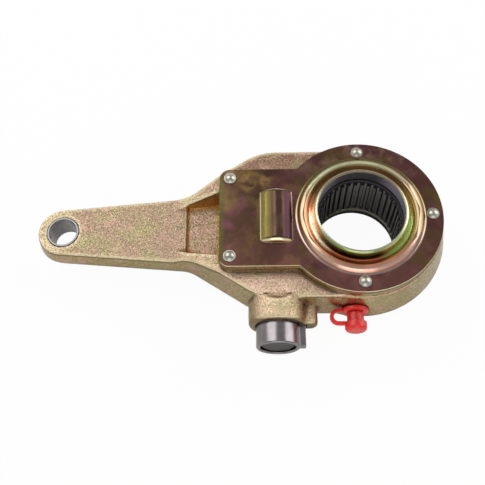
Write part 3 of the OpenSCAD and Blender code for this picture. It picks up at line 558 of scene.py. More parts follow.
def casting_finish(given):
    """Plated cast iron: painted highlights along its edges, painted shade in its hollows and recesses,
    orange beside the ribs.
    """
    material, tree, shader = new_finish("plated casting", Metallic=0.9)
    grain = use_group(tree, "grain", CAST_GRAIN)
    lift = size_of(tree, parts(tree, surface_normal(tree))["Z"])
    spot = parts(tree, place(tree))
    open_face = remap(tree, lift, *OPEN_LIFT)
    upper = remap(tree, lift, *UPPER_LIFT)
    skin = casting_skin(tree, given, spot, open_face)
    lit = mix_colour(tree, remap(tree, grain["Fine"], *BRIGHT_GRAINS), skin, given.light_grain, share=0.4)
    pitted = mix_colour(tree, remap(tree, grain["Fine"], *DARK_GRAINS), lit, given.dark_grain, share=0.7)
    recess = use_group(tree, "recess", {"Depth": RECESS_DEPTH})["Recess"]
    shaded = mix_colour(tree, recess, pitted, given.shade_colour, share=0.92)
    ribs = times(tree, inside(tree, spot["X"], given.pocket_place, given.pocket_reach, RIB_SOFT),
                 remap(tree, spot["Z"], 0.0, RIB_SOFT))
    across = inside(tree, spot["Y"], 0.0, given.pocket_width, RIB_SOFT)
    slopes = times(tree, ribs, times(tree, remap(tree, lift, *SLOPE_LIFT), across))
    stained = mix_colour(tree, slopes, shaded, given.pocket_colour, share=0.8)
    sunk = attribute(tree, SUNK)
    form = attribute(tree, FORM)
    # Painted shade in the creases, and the orange stain in those among the ribs
    hollow = mix_colour(tree, ribs, given.crease_shade_colour, given.pocket_colour)
    pooled = mix_colour(tree, remap(tree, sunk, *HOLLOW_SUNK), stained, hollow)
    # Broad edges: painted highlight on upward faces, painted shade on walls; broad hollows: painted shade,
    # orange stain among the ribs
    rim_light_and_shade = mix_colour(tree, upper, given.broad_shade_colour, given.broad_highlight_colour)
    bright = mix_colour(tree, remap(tree, form, *BROAD_EDGE), pooled, rim_light_and_shade, share=0.8)
    hollow_shade_and_stain = mix_colour(tree, ribs, given.broad_shade_colour, given.pocket_colour)
    dim = mix_colour(tree, remap(tree, form, *BROAD_HOLLOW), bright, hollow_shade_and_stain, share=0.75)
    # Edges of upward faces: rubbed plating with a painted highlight
    edge = times(tree, remap(tree, sunk, *EDGE_SUNK), upper)
    worn_and_highlit = mix_colour(tree, edge, dim, given.worn_and_highlight_colour, share=0.9)
    glint = spread(tree, grain["Fine"], 0.0, GRAIN_GLINT)
    sanded = spread(tree, open_face, given.roughness + WALL_ROUGHNESS, given.roughness + FACE_ROUGHNESS)
    feed(shader, Base_Color=worn_and_highlit, Roughness=minus(tree, sanded, glint))
    sand = spread(tree, open_face, WALL_SAND, 1.0)
    bump(tree, shader, times(tree, grain["Height"], sand), strength=1.0, distance=CAST_GRAIN_HEIGHT)
    return material


SHEET_GRAIN = {"Fine scale": 700.0, "Coarse scale": 90.0}
SHEET_PATCHES = {"Patch scale": 55.0, "Amount": 0.8}
SHEET_PATCH_HEIGHT = 0.3 * MM
CORNER_SPECKLE = {"scale": 110.0, "detail": 4.0, "rough": 0.6, "distortion": 0.8}
MOTTLE_SPECKLE = {"scale": 140.0, "detail": 5.0, "rough": 0.65, "distortion": 0.6}
# Change of the sheet's roughness over its patches
SHEET_SMOOTHER = -0.05
SHEET_ROUGHER = 0.08
# Limits of the patches in the olive corner and in the mottling
CORNER_PATCHES = (0.38, 0.6)
MOTTLE_PATCHES = (0.45, 0.7)
# Half size and softness of the olive corner, along the arm and across it
CORNER_ALONG = (8 * MM, 5 * MM)
CORNER_ACROSS = (4 * MM, 4 * MM)
GREEN_WIDTH = 3.5 * MM
# Limits of masks by lift: the sheet's rounded edges, the bend of the lip and its rim
EDGE_LIFT = (0.985, 0.85)
BEND_LIFT = (0.2, 0.5)
RIM_LIFT = (0.7, 0.95)
# The way that the dull edges with the painted highlight line face, and how far along it the line begins and
# is full
LINE_WAY = (-0.4, 1.0)
LINE_LIMITS = (0.0, -0.2)
# Where faces turn to the bore's middle, and the share of the metal's sheen lost there and on the painted
# highlight line
INWARD = (-0.3, -0.7)
LOST_SHEEN = 0.8
# Depths under the sheet's face where the painted highlight line along the edges begins and where it is full
EDGE_LINE_LOW = 1.2 * MM
EDGE_LINE_HIGH = 0.8 * MM
# How far the blister's mound reaches past it, how far its colours stay short of its ends, and soft limits
MOUND_PAST = 0.6 * MM
ARCH_SHORT = 1.2 * MM
MOUND_SOFT = 0.3 * MM
ARCH_SOFT = 0.2 * MM
# The ring's crest, how far it moves inwards at the front, and the painted highlight line at its foot
CREST_HALF = 0.8 * MM
CREST_SHIFT = 1.3 * MM
FOOT_LINE = (0.3 * MM, 0.5 * MM)
# Past the foot's radius, where the ring ends and the flat sheet is full
RING_ENDS = 0.4 * MM
SHEET_BEGINS = 0.9 * MM
# Past the lip's radius, where the pale collar of painted highlight begins and is full, and the softness of
# the lip's limit
COLLAR_BEGINS = 1.8 * MM
COLLAR_FULL = 0.8 * MM
LIP_SOFT = 0.4 * MM
# Under the lip's end, where its painted highlight edge begins and is full inside, and the painted highlight
# line of the rear lip
LIP_EDGE_LOW = 1.6 * MM
LIP_EDGE_HIGH = 0.8 * MM
FAR_LINE_SIZE = (1.3 * MM, 0.3 * MM)
# Sides of the bore: a direction, and how far along it a mask begins and is full; the masks place painted
# highlights and shade on the ring and the lip
FRONT = ((0.0, 1.0), -0.1, -0.8)
BEHIND = ((0.0, 1.0), 0.0, 0.7)
FOOT_SIDE = ((0.0, 1.0), 0.4, -0.3)
FAR_SIDE = ((1.0, 0.0), -0.5, 0.3)
LIME_SIDE = ((-1.0, 1.0), -0.7, 0.9)
WARM_SIDE = ((0.6, 1.0), 0.1, -0.8)
PALE_SIDE = ((-0.93, -0.37), 0.82, 0.97)
LEAF_SIDE = ((0.82, -0.57), 0.76, 0.96)
# How far along the arm from the bore's middle, as a share, the crest is bronze and the tube has its lilac
# painted highlight
BRONZE_ENDS = (0.75, 0.97)
LILAC_ENDS = (0.35, 0.85)


class CoverSpot:
    """A place on a cover as its finish sees it: position, slope, and way from the bore's middle."""

    def __init__(self, tree):
        self.tree = tree
        self.spot = parts(tree, place(tree))
        self.face = parts(tree, surface_normal(tree))
        self.lift = size_of(tree, self.face["Z"])
        self.height = size_of(tree, self.spot["Z"])
        self.radius = length_of(tree, self.spot["X"], self.spot["Y"])
        self.away_x = over(tree, self.spot["X"], self.radius)
        self.away_y = over(tree, self.spot["Y"], self.radius)

    def side(self, direction, low, high):
        """A mask for one side of the bore."""
        along = weighed(self.tree, self.away_x, direction[0], self.away_y, direction[1])
        return remap(self.tree, along, low, high)

    def both_ends(self, low, high):
        """A mask for the two sides of the bore along the arm."""
        return remap(self.tree, size_of(self.tree, self.away_x), low, high)


def flat_plating_and_reflection(tree, given, at):
    """Dark, patchy plating with an olive corner, a mottled far edge and a green end, lighter towards the
    front and round the bore as painted reflection.
    """
    along = at.spot["X"]
    across = at.spot["Y"]
    # Lighter towards the front and round the bore: painted reflection
    by_bore = remap(tree, along, given.arm_tone, given.bore_tone)
    sheet = mix_colour(tree, remap(tree, across, given.middle_tone, given.front_tone),
                       mix_colour(tree, by_bore, given.plate_colour, given.round_colour),
                       mix_colour(tree, by_bore, given.front_colour, given.near_light_colour))
    tints = {"Colour": sheet, "First tint": given.olive_colour, "Second tint": given.purple_colour}
    patched = use_group(tree, "tint", {**tints, **SHEET_PATCHES})["Colour"]
    corner = times(tree, inside(tree, along, given.corner_x, *CORNER_ALONG),
                   inside(tree, across, given.corner_y, *CORNER_ACROSS))
    smear = times(tree, corner, remap(tree, speckle(tree, **CORNER_SPECKLE), *CORNER_PATCHES))
    cornered = mix_colour(tree, smear, patched, given.corner_colour)
    smudge = times(tree, remap(tree, speckle(tree, **MOTTLE_SPECKLE), *MOTTLE_PATCHES),
                   remap(tree, across, given.mottle_start, given.mottle_full))
    mottled = mix_colour(tree, smudge, cornered, given.mottle_colour, share=0.85)
    end = remap(tree, along, given.arm_end + GREEN_WIDTH, given.arm_end)
    return mix_colour(tree, end, mottled, given.moss_colour)


def edge_line(tree, given, at):
    """A mask for the painted highlight line on the upper part of the edges that face the front and the
    bore's end.
    """
    upper = remap(tree, at.height, given.sheet_top - EDGE_LINE_LOW, given.sheet_top - EDGE_LINE_HIGH)
    facing = weighed(tree, at.face["X"], LINE_WAY[0], at.face["Y"], LINE_WAY[1])
    return times(tree, upper, remap(tree, facing, *LINE_LIMITS))


def on_blister(tree, given, at, wider, longer, soft):
    """A mask over the blister, which it passes by some margins."""
    across = inside(tree, at.spot["X"], given.blister_place, given.blister_width / 2 + wider, soft)
    along = inside(tree, at.spot["Y"], 0.0, given.blister_length / 2 + longer, MOUND_SOFT)
    return times(tree, across, along)


def blister_painted_reflection(tree, given, at):
    """Painted reflection bands over the round back of the blister, in olive, brown and purple tints, from
    the arm's side to the bore's.
    """
    half = given.blister_width / 2
    return ramp(tree, over(tree, minus(tree, at.spot["X"], given.blister_place), half), (
        (-1.0, given.gold_highlight_colour), (-0.92, given.blister_olive), (-0.78, given.blister_olive),
        (-0.56, given.blister_moss), (-0.24, given.blister_brown), (0.0, given.blister_tan),
        (0.24, given.blister_tan), (0.56, given.blister_purple), (0.88, given.blister_purple),
        (1.0, given.pink_highlight_colour)))


def flare_highlights(tree, given, at):
    """Painted highlights round the lip: cream towards the arm and lime on the far side."""
    return mix_colour(tree, at.side(*FAR_SIDE), given.cream_highlight_colour, given.leaf_highlight_colour)


def ring_tints_and_painted_light(tree, given, at):
    """Tints of the raised ring, from its inner slope over the crest to its foot, made lighter or darker by
    side of the bore as painted highlight and shade.
    """
    front = at.side(*FRONT)
    coloured = mix_colour(tree, at.side(*LIME_SIDE), given.pink_highlight_colour, given.lime_highlight_colour)
    crest = mix_colour(tree, at.both_ends(*BRONZE_ENDS), coloured, given.bronze_colour)
    by_lip = remap(tree, at.radius, given.lip_radius + COLLAR_BEGINS, given.lip_radius + COLLAR_FULL)
    sides = maths(tree, "ADD", at.side(*PALE_SIDE), at.side(*LEAF_SIDE), clamp=True)
    warm = mix_colour(tree, at.side(*WARM_SIDE), given.tan_colour, given.warm_colour)
    slope = mix_colour(tree, times(tree, by_lip, sides), warm, flare_highlights(tree, given, at))
    moved = minus(tree, at.radius, times(tree, front, CREST_SHIFT))
    ring = mix_colour(tree, inside(tree, moved, given.ring_radius, CREST_HALF, CREST_HALF), slope, crest)
    past = remap(tree, moved, given.ring_radius + CREST_HALF, given.ring_radius + 2 * CREST_HALF)
    flank = mix_colour(tree, front, given.flank_colour, given.rose_colour)
    outer = mix_colour(tree, past, ring, flank)
    # The line at the ring's foot: painted highlight
    foot = mix_colour(tree, at.side(*FOOT_SIDE), given.back_foot_highlight_colour, given.foot_highlight_colour)
    return mix_colour(tree, inside(tree, at.radius, given.foot_radius, *FOOT_LINE), outer, foot)


def tube_shade_and_highlights(tree, given, at, edge):
    """Painted shade inside the two lips, with lilac painted highlights at their sides, a painted highlight
    on the edge in front and a painted highlight line in the rear lip.
    """
    bore = mix_colour(tree, at.both_ends(*LILAC_ENDS), given.bore_shade_colour, given.lilac_highlight_colour)
    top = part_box("front_cover")[1][2]
    tube = mix_colour(tree, remap(tree, at.height, top - LIP_EDGE_LOW, top - LIP_EDGE_HIGH), bore, edge)
    far_shine = mix_colour(tree, at.side(*FAR_SIDE), given.leaf_highlight_colour, given.cream_highlight_colour)
    far_highlight_line = inside(tree, at.height, given.far_highlight_line, *FAR_LINE_SIZE)
    far_tube = mix_colour(tree, far_highlight_line, given.bore_shade_colour, far_shine)
    rear = remap(tree, at.spot["Z"], 0.0, -MM)
    return mix_colour(tree, rear, tube, far_tube)


def lip_tints_and_painted_light(tree, given, at, within):
    """Colours of the lip: pale sides with painted highlights, a painted shadow on the dark front under a
    green bend, and a painted highlight on its edge.
    """
    flare = flare_highlights(tree, given, at)
    # Painted shadow on the lip's front, under its green bend
    shade = times(tree, at.side(*FRONT), minus(tree, 1.0, at.side(*LEAF_SIDE)))
    wall = mix_colour(tree, shade, flare, given.lip_foot_shadow_colour)
    bend = mix_colour(tree, shade, flare, given.green_colour)
    turned = mix_colour(tree, remap(tree, at.lift, *BEND_LIFT), wall, bend)
    behind = at.side(*BEHIND)
    edge = mix_colour(tree, behind, given.lip_rim_highlight_colour, given.bronze_colour)
    outer = mix_colour(tree, behind, turned, given.bronze_colour)
    rim = mix_colour(tree, remap(tree, at.lift, *RIM_LIFT), outer, edge)
    return mix_colour(tree, within, rim, tube_shade_and_highlights(tree, given, at, edge))


def cover_finish(given):
    """Plated sheet: dark where flat, with a gold painted highlight along its edges, and many-coloured tints
    with painted highlights and shade on its ring and lip.
    """
    material, tree, shader = new_finish("plated sheet")
    at = CoverSpot(tree)
    steep = remap(tree, at.lift, *EDGE_LIFT)
    line = edge_line(tree, given, at)
    mound = on_blister(tree, given, at, MOUND_PAST, MOUND_PAST, MOUND_SOFT)
    # Painted highlight on the edge line and round the blister, painted dark reflection on the other edges
    # and sides
    edge = mix_colour(tree, larger(tree, line, mound), given.side_shade_colour, given.gold_highlight_colour)
    edged = mix_colour(tree, steep, flat_plating_and_reflection(tree, given, at), edge)
    blister = on_blister(tree, given, at, 0.0, -ARCH_SHORT, ARCH_SOFT)
    arched = mix_colour(tree, blister, edged, blister_painted_reflection(tree, given, at))
    on_lip = remap(tree, at.radius, given.lip_radius, given.lip_radius - LIP_SOFT)
    outward = weighed(tree, at.face["X"], at.away_x, at.face["Y"], at.away_y)
    within = times(tree, remap(tree, outward, *INWARD), on_lip)
    lipped = mix_colour(tree, on_lip, ring_tints_and_painted_light(tree, given, at), lip_tints_and_painted_light(tree, given, at, within))
    outside = remap(tree, at.radius, given.foot_radius + RING_ENDS, given.foot_radius + SHEET_BEGINS)
    # The metal dulled on the painted highlight line, so that its bright colour shows
    line_highlight_edges = times(tree, times(tree, steep, line), minus(tree, outside, mound, clamp=True))
    dull = times(tree, larger(tree, within, line_highlight_edges), LOST_SHEEN)
    grain = use_group(tree, "grain", SHEET_GRAIN)
    rough = spread(
        tree, grain["Patches"], given.roughness + SHEET_SMOOTHER, given.roughness + SHEET_ROUGHER)
    pressed = mix_colour(tree, outside, lipped, arched)
    feed(shader, Base_Color=pressed, Metallic=minus(tree, 1.0, dull), Roughness=rough)
    bump(tree, shader, grain["Patches"], strength=0.08, distance=SHEET_PATCH_HEIGHT)
    return material


STEEL_GRAIN = {"Fine scale": 1500.0, "Coarse scale": 200.0}
STEEL_EDGE_RADIUS = 0.35 * MM
# Factor and summand that lighten steel along its edges as a painted highlight, and the share of its colour
# in dull patches
EDGE_FACTOR = 2.4
EDGE_LIGHT = 0.12
DULL_SHARE = 0.6
LINE_HEIGHT = 0.05 * MM
MARK_HEIGHT = 0.1 * MM


def steel_finish(name, colour, roughness, line_scale=0.0, highlight_gain=0.5, marks=0.13):
    """Bare steel with fine marks in its roughness, and a painted highlight along its edges."""
    material, tree, shader = new_finish(name, Metallic=1.0)
    grain = use_group(tree, "grain", STEEL_GRAIN)
    edge = use_group(tree, "edge", {"Radius": STEEL_EDGE_RADIUS})["Edge"]
    bright = [min(1.0, EDGE_FACTOR * part + EDGE_LIGHT) for part in colour]
    dulled = mix_colour(tree, grain["Patches"], colour, scaled(colour, DULL_SHARE), share=0.35)
    # Painted highlight along the edges
    feed(shader, Base_Color=mix_colour(tree, edge, dulled, bright, share=highlight_gain),
         Roughness=spread(tree, grain["Fine"], roughness - marks / 2, roughness + marks / 2))
    if line_scale:
        lines = use_group(tree, "turning", {"Line scale": line_scale})["Height"]
        bump(tree, shader, lines, strength=0.03, distance=LINE_HEIGHT)
    else:
        bump(tree, shader, grain["Fine"], strength=0.06, distance=MARK_HEIGHT)
    return material


# Against the radius of the tooth floors: where the floors' painted light begins and is full, and so for the
# lead-in's painted dark reflection
FLOOR_LIMITS = (-0.40 * MM, -0.22 * MM)
LEAD_LIMITS = (0.1 * MM, 0.3 * MM)
# Limits of the masks for faces that turn to the bore's middle and for upright faces
RADIAL_LIMITS = (0.6, 0.95)
UPRIGHT_LIMITS = (0.4, 0.1)
SPLINE_ROUGHNESS = (0.36, 0.48)


def spline_finish(given):
    """Oiled steel, with painted shade on the flanks of the teeth that ring the bore, a painted dark
    reflection on the lead-in, and painted light on the floors of the tooth spaces.
    """
    material, tree, shader = new_finish("spline steel", Metallic=0.15)
    spot = parts(tree, place(tree))
    face = parts(tree, surface_normal(tree))
    radius = length_of(tree, spot["X"], spot["Y"])
    outward = weighed(tree, face["X"], spot["X"], face["Y"], spot["Y"])
    radial = over(tree, size_of(tree, outward), radius)
    upright = remap(tree, size_of(tree, face["Z"]), *UPRIGHT_LIMITS)
    low = remap(tree, radius, *(given.floor_radius + limit for limit in FLOOR_LIMITS))
    before = remap(tree, radius, *(given.floor_radius + limit for limit in LEAD_LIMITS))
    plain = times(tree, larger(tree, remap(tree, radial, *RADIAL_LIMITS), low), upright)
    grain = use_group(tree, "grain", STEEL_GRAIN)
    darker = scaled(given.wheel_colour, DULL_SHARE)
    dull = mix_colour(tree, grain["Patches"], given.wheel_colour, darker, share=0.4)
    # Painted light on the tooth floors, painted dark reflection on the lead-in, painted shade on the flanks
    lead = mix_colour(tree, before, mix_colour(tree, low, dull, given.floor_colour), given.lead_colour)
    feed(shader, Base_Color=mix_colour(tree, plain, given.flank_colour, lead),
         Roughness=spread(tree, grain["Fine"], *SPLINE_ROUGHNESS))
    return material


RUBBER_GRAIN = {"Fine scale": 2000.0, "Coarse scale": 300.0}
RUBBER_ROUGHNESS = (0.6, 0.8)
DUST_SHARE = 3.0


def rubber_finish(given):
    """Black rubber with dusty patches."""
    material, tree, shader = new_finish("black rubber", Metallic=0.0)
    grain = use_group(tree, "grain", RUBBER_GRAIN)
    dusty = scaled(given.rubber_colour, DUST_SHARE)
    feed(shader, Base_Color=mix_colour(tree, grain["Patches"], given.rubber_colour, dusty, share=0.4),
         Roughness=spread(tree, grain["Fine"], *RUBBER_ROUGHNESS))
    return material


PLASTIC_GRAIN = {"Fine scale": 1200.0, "Coarse scale": 350.0}
DEEP_SHARE = 0.8
PLASTIC_SMOOTHER = -0.05
PLASTIC_ROUGHER = 0.07


def plastic_finish(given):
    """Glossy red plastic that light wanders into."""
    material, tree, shader = new_finish(
        "red plastic", Metallic=0.0, IOR=1.47, Subsurface_Weight=0.7, Subsurface_Scale=given.glow_depth,
        Subsurface_Radius=(1.0, 0.25, 0.2), Coat_Weight=0.12)
    grain = use_group(tree, "grain", PLASTIC_GRAIN)
    deep = scaled(given.red_colour, DEEP_SHARE)
    rough = spread(
        tree, grain["Fine"], given.roughness + PLASTIC_SMOOTHER, given.roughness + PLASTIC_ROUGHER)
    feed(shader, Base_Color=mix_colour(tree, grain["Patches"], deep, given.red_colour), Roughness=rough)
    bump(tree, shader, grain["Fine"], strength=0.04, distance=MARK_HEIGHT)
    return material


def mesh_points(mesh):
    points = np.zeros(len(mesh.vertices) * 3)
    mesh.vertices.foreach_get("co", points)
    return points.reshape(-1, 3)


def set_points(mesh, points):
    mesh.vertices.foreach_set("co", points.astype(np.float32).ravel())
    mesh.update()


def new_piece(name, work):
    """An object with the mesh of a bmesh, which is freed."""
    mesh = bpy.data.meshes.new(name)
    work.to_mesh(mesh)
    work.free()
    obj = bpy.data.objects.new(name, mesh)
    bpy.context.scene.collection.objects.link(obj)
    return obj


MERGE_DISTANCE = 0.002 * MM
FLAT_ANGLE = math.radians(0.5)


def joined_faces(node):
    """A CAD node's mesh as a bmesh, its faces joined along their edges."""
    work = bmesh.new()
    work.from_mesh(NODES[node].data)
    bmesh.ops.remove_doubles(work, verts=work.verts, dist=MERGE_DISTANCE)
    return work


def softened(node, name, width, segments=3):
    """A copy of a CAD node with its sharp edges rounded to a width."""
    work = joined_faces(node)
    bmesh.ops.dissolve_limit(work, angle_limit=FLAT_ANGLE, verts=work.verts, edges=work.edges)
    between = [edge for edge in work.edges if len(edge.link_faces) == 2]
    sharp = [edge for edge in between if edge.calc_face_angle() > SHARP_ANGLE]
    bmesh.ops.bevel(work, geom=sharp, offset=width, offset_type="OFFSET", segments=segments, profile=0.5,
                    affect="EDGES", clamp_overlap=True)
    for face in work.faces:
        face.smooth = True
    for edge in work.edges:
        edge.smooth = len(edge.link_faces) == 2 and edge.calc_face_angle() < SHARP_ANGLE
    piece = new_piece(name, work)
    level = piece.modifiers.new("level faces", "WEIGHTED_NORMAL")
    level.keep_sharp = True
    level.weight = 100
    return piece


def stand_in(piece, node, body, finish):
    """Puts a piece in a CAD node's place."""
    wear(piece, finish)
    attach(piece, body)
    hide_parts(node)


def baked(obj):
    """Replaces an object's mesh by the outcome of its modifiers."""
    bpy.context.view_layer.update()
    made = bpy.data.meshes.new_from_object(obj.evaluated_get(bpy.context.evaluated_depsgraph_get()))
    obj.modifiers.clear()
    made.name = obj.name
    obj.data = made
    return made


def remeshed(obj, size):
    """Replaces an object's mesh by an even skin of small faces."""
    skin = obj.modifiers.new("skin", "REMESH")
    skin.mode = "VOXEL"
    skin.voxel_size = size
    return baked(obj)


LIP_FLARE = 0.75


def flared(mesh, given):
    """Rounds the lip of a cover inwards, more and more towards its top."""
    points = mesh_points(mesh)
    radius = np.hypot(points[:, 0], points[:, 1])
    height = np.abs(points[:, 2])
    inner = radius.min()
    rise = np.clip(1 - (height.max() - height) / given.lip_bend, 0, 1)
    keep = np.where(radius < given.lip_radius, np.sqrt(1 - LIP_FLARE * rise ** 2), 1)
    points[:, :2] *= ((inner + (radius - inner) * keep) / radius)[:, None]
    set_points(mesh, points)


# The ring's steepest slopes, in degrees, and how far they lie from the lip's and the foot's radius
INNER_TILT = -60
OUTER_TILT = 50
INNER_SLOPE = 1.6 * MM
OUTER_SLOPE = 1.0 * MM
# How far past the foot's radius the slope ends, and how far past that a face of the ring may reach
SLOPE_ENDS = 0.45 * MM
FACE_MARGIN = 0.3 * MM
LEAST_LIFT = 0.1


def bulged(mesh, given):
    """Spreads the slope of a cover's ring over its width, so that the ring shades as one round bulge."""
    corners = np.zeros(len(mesh.loops), np.int32)
    mesh.loops.foreach_get("vertex_index", corners)
    spots = mesh_points(mesh)[corners]
    normals = np.zeros(len(mesh.loops) * 3)
    mesh.corner_normals.foreach_get("vector", normals)
    normals = normals.reshape(-1, 3)
    radius = np.hypot(spots[:, 0], spots[:, 1])
    outside = np.sign(spots[:, 2].mean())
    stops = (given.lip_radius, given.lip_radius + INNER_SLOPE, given.ring_radius,
             given.foot_radius - OUTER_SLOPE, given.foot_radius + SLOPE_ENDS)
    tilt = np.radians(np.interp(radius, stops, (0, INNER_TILT, 0, OUTER_TILT, 0)))
    reach = np.concatenate(
        [np.full(face.loop_total, radius[list(face.loop_indices)].max()) for face in mesh.polygons])
    lifted = normals[:, 2] * outside > LEAST_LIFT
    ring = (radius > stops[0]) & (reach < stops[-1] + FACE_MARGIN) & lifted
    away = spots[ring, :2] / radius[ring, None]
    normals[ring, :2] = away * np.sin(tilt[ring])[:, None]
    normals[ring, 2] = outside * np.cos(tilt[ring])
    mesh.normals_split_custom_set(normals)


def neighbour_mean(mesh):
    """A function for the mean of some values over each point's neighbours."""
    edges = np.zeros(len(mesh.edges) * 2, np.int64)
    mesh.edges.foreach_get("vertices", edges)
    first, second = edges.reshape(-1, 2).T
    ends, others = np.concatenate((first, second)), np.concatenate((second, first))
    count = np.maximum(np.bincount(ends, minlength=len(mesh.vertices)), 1)
    return lambda values: np.column_stack(
        [np.bincount(ends, part[others], len(count)) / count for part in values.T])


def point_normals(mesh):
    normals = np.zeros(len(mesh.vertices) * 3)
    mesh.vertex_normals.foreach_get("vector", normals)
    return normals.reshape(-1, 3)


RELAX_SHARE = 0.6
DEPTH_PASSES = 2


def rounded(mesh, passes, form_passes):
    """Relaxes the mesh, which rounds edges and hollows, and notes how far each point sank or would sink."""
    mean = neighbour_mean(mesh)

    def relaxed(points, count):
        for _ in range(count):
            points = points + RELAX_SHARE * (mean(points) - points)
        return points

    start = mesh_points(mesh)
    points = relaxed(start, passes)
    set_points(mesh, points)
    for name, before, after in ((SUNK, start, points), (FORM, points, relaxed(points, form_passes))):
        depth = np.sum((before - after) * point_normals(mesh), axis=1, keepdims=True)
        for _ in range(DEPTH_PASSES):
            depth = (depth + mean(depth)) / 2
        noted = mesh.attributes.new(name, "FLOAT", "POINT")
        noted.data.foreach_set("value", depth.astype(np.float32).ravel())


# Shares of the cast grain and how many of its waves fit in a metre
GRAIN_WAVES = ((0.65, 420), (0.35, 130))


def roughened(mesh, depth):
    """Moves the points in and out by a cast grain."""
    points = mesh_points(mesh)
    lift = sum(share * np.array([noise.noise(Vector(point) * waves) for point in points])
               for share, waves in GRAIN_WAVES)
    set_points(mesh, points + depth * lift[:, None] * point_normals(mesh))


def smooth_faces(mesh):
    mesh.polygons.foreach_set("use_smooth", [True] * len(mesh.polygons))


class SLACK_OT_cast_body(bpy.types.Operator):
    """Builds the rough cast body with rounded edges around the solid of the frame"""

    bl_idname = "slack.cast_body"
    bl_label = "Cast body"

    def execute(self, context):
        given = context.scene.slack_casting
        body = new_piece("cast_body", joined_faces("body"))
        skin = remeshed(body, given.mesh_size)
        rounded(skin, given.rounding, given.form_passes)
        roughened(skin, given.grain_depth)
        smooth_faces(skin)
        stand_in(body, "body", "housing", casting_finish(given))
        return {"FINISHED"}


class SLACK_OT_covers(bpy.types.Operator):
    """Rounds and finishes the two pressed covers, and finishes their gaskets"""

    bl_idname = "slack.covers"
    bl_label = "Covers"

    def execute(self, context):
        given = context.scene.slack_cover
        finish = cover_finish(given)
        rubber = rubber_finish(context.scene.slack_steel)
        for side in ("front", "rear"):
            sheet = softened(side + "_cover", side + "_sheet", given.edge_round)
            flared(sheet.data, given)
            bulged(baked(sheet), given)
            stand_in(sheet, side + "_cover", "housing", finish)
            wear(NODES[side + "_gasket"], rubber)
            wear(NODES[side + "_seal"], rubber)
        return {"FINISHED"}


class SLACK_OT_steel_parts(bpy.types.Operator):
    """Finishes the rivets, the bush, the worm drive, the lock sleeve and the springs"""

    bl_idname = "slack.steel_parts"
    bl_label = "Steel parts"

    def execute(self, context):
        given = context.scene.slack_steel
        turned = steel_finish("turned steel", given.sleeve_colour, roughness=0.24, line_scale=2500.0,
                              highlight_gain=0.6, marks=0.04)
        bush = steel_finish("bush steel", given.bush_colour, roughness=0.34, highlight_gain=0.05)
        # The hexagon's dark steel holds painted shade for the sleeve's mouth
        dark = steel_finish("dark steel", given.shaft_colour, roughness=0.36)
        for node, name, body, slot, finish in (
                ("lock_sleeve", "turned_sleeve", "sleeve", "sleeve_steel", turned),
                ("lever_bush", "eye_bush", "housing", "bush_steel", bush),
                ("worm_shaft", "hexagon_shaft", "worm_group", "shaft_steel", dark)):
            stand_in(softened(node, name, given.edge_round), node, body, finish)
        rivet = steel_finish("rivet steel", given.rivet_colour, roughness=0.32, highlight_gain=0.2)
        wear(NODES["cover_rivets"], rivet)
        wear(NODES["worm_wheel"], spline_finish(given))
        wire = steel_finish("drawn wire", given.spring_colour, roughness=0.3)
        brass = steel_finish("brass", given.brass_colour, roughness=0.3)
        self.spring("lock_spring", "sleeve_press", wire)
        self.spring("nipple_spring", "ball_lift", wire)
        for node in ("worm", "spring_seat", "nipple_ball"):
            wear(NODES[node], wire)
        for node in ("thrust_washers", "grease_nipple", "end_plug"):
            wear(NODES[node], brass)
        return {"FINISHED"}

    def spring(self, node, joint, finish):
        """A smoothly shaded copy of a coil in its CAD node's place, with a mesh of its own."""
        coil = new_piece(node + "_coil", joined_faces(node))
        smooth_faces(coil.data)
        stand_in(coil, node, "housing", finish)
        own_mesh(coil)


class SLACK_OT_grease_cap(bpy.types.Operator):
    """Rounds and finishes the red cap, its ring and its strap"""

    bl_idname = "slack.grease_cap"
    bl_label = "Grease cap"

    def execute(self, context):
        given = context.scene.slack_cap
        finish = plastic_finish(given)
        for node, name, body in (("cap_ring", "red_ring", "housing"), ("dust_cap", "red_cap", "cap")):
            stand_in(softened(node, name, given.edge_round), node, body, finish)
        strap = softened("cap_strap", "red_strap", given.edge_round, segments=4)
        wear(strap, finish)
        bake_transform(strap)
        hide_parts("cap_strap")
        return {"FINISHED"}


FLOOR_HALF = 4.0
FLOOR_GAP = 0.2 * MM
NEAREST_SEEN = 0.01
# How high the studio's walls turn into its sky, as the upright part of a direction
WALL_ENDS = (0.1, 0.7)
SOFTBOX_AIM = (-0.04, 0.0, 0.0)
# Place, width, height and share of the softbox light
SOFTBOXES = {
    "left softbox": ((-0.49, 0.38, 0.68), 0.66, 0.75, 1.0),
    "right softbox": ((0.70, 0.37, 0.42), 0.70, 0.75, 1.0),
    "front softbox": ((-0.05, -1.0, 0.55), 0.9, 0.7, 0.6),
}


def softbox(name, place_at, aim, width, height, radiance):
    """An oblong lamp that faces the aim, with its power set from the wanted radiance."""
    lamp = bpy.data.lights.new(name, "AREA")
    lamp.shape = "RECTANGLE"
    lamp.size = width
    lamp.size_y = height
    lamp.energy = radiance * math.pi * width * height
    obj = bpy.data.objects.new(name, lamp)
    obj.location = place_at
    obj.rotation_mode = "QUATERNION"
    obj.rotation_quaternion = (Vector(aim) - Vector(place_at)).to_track_quat("-Z", "Y")
    bpy.context.scene.collection.objects.link(obj)


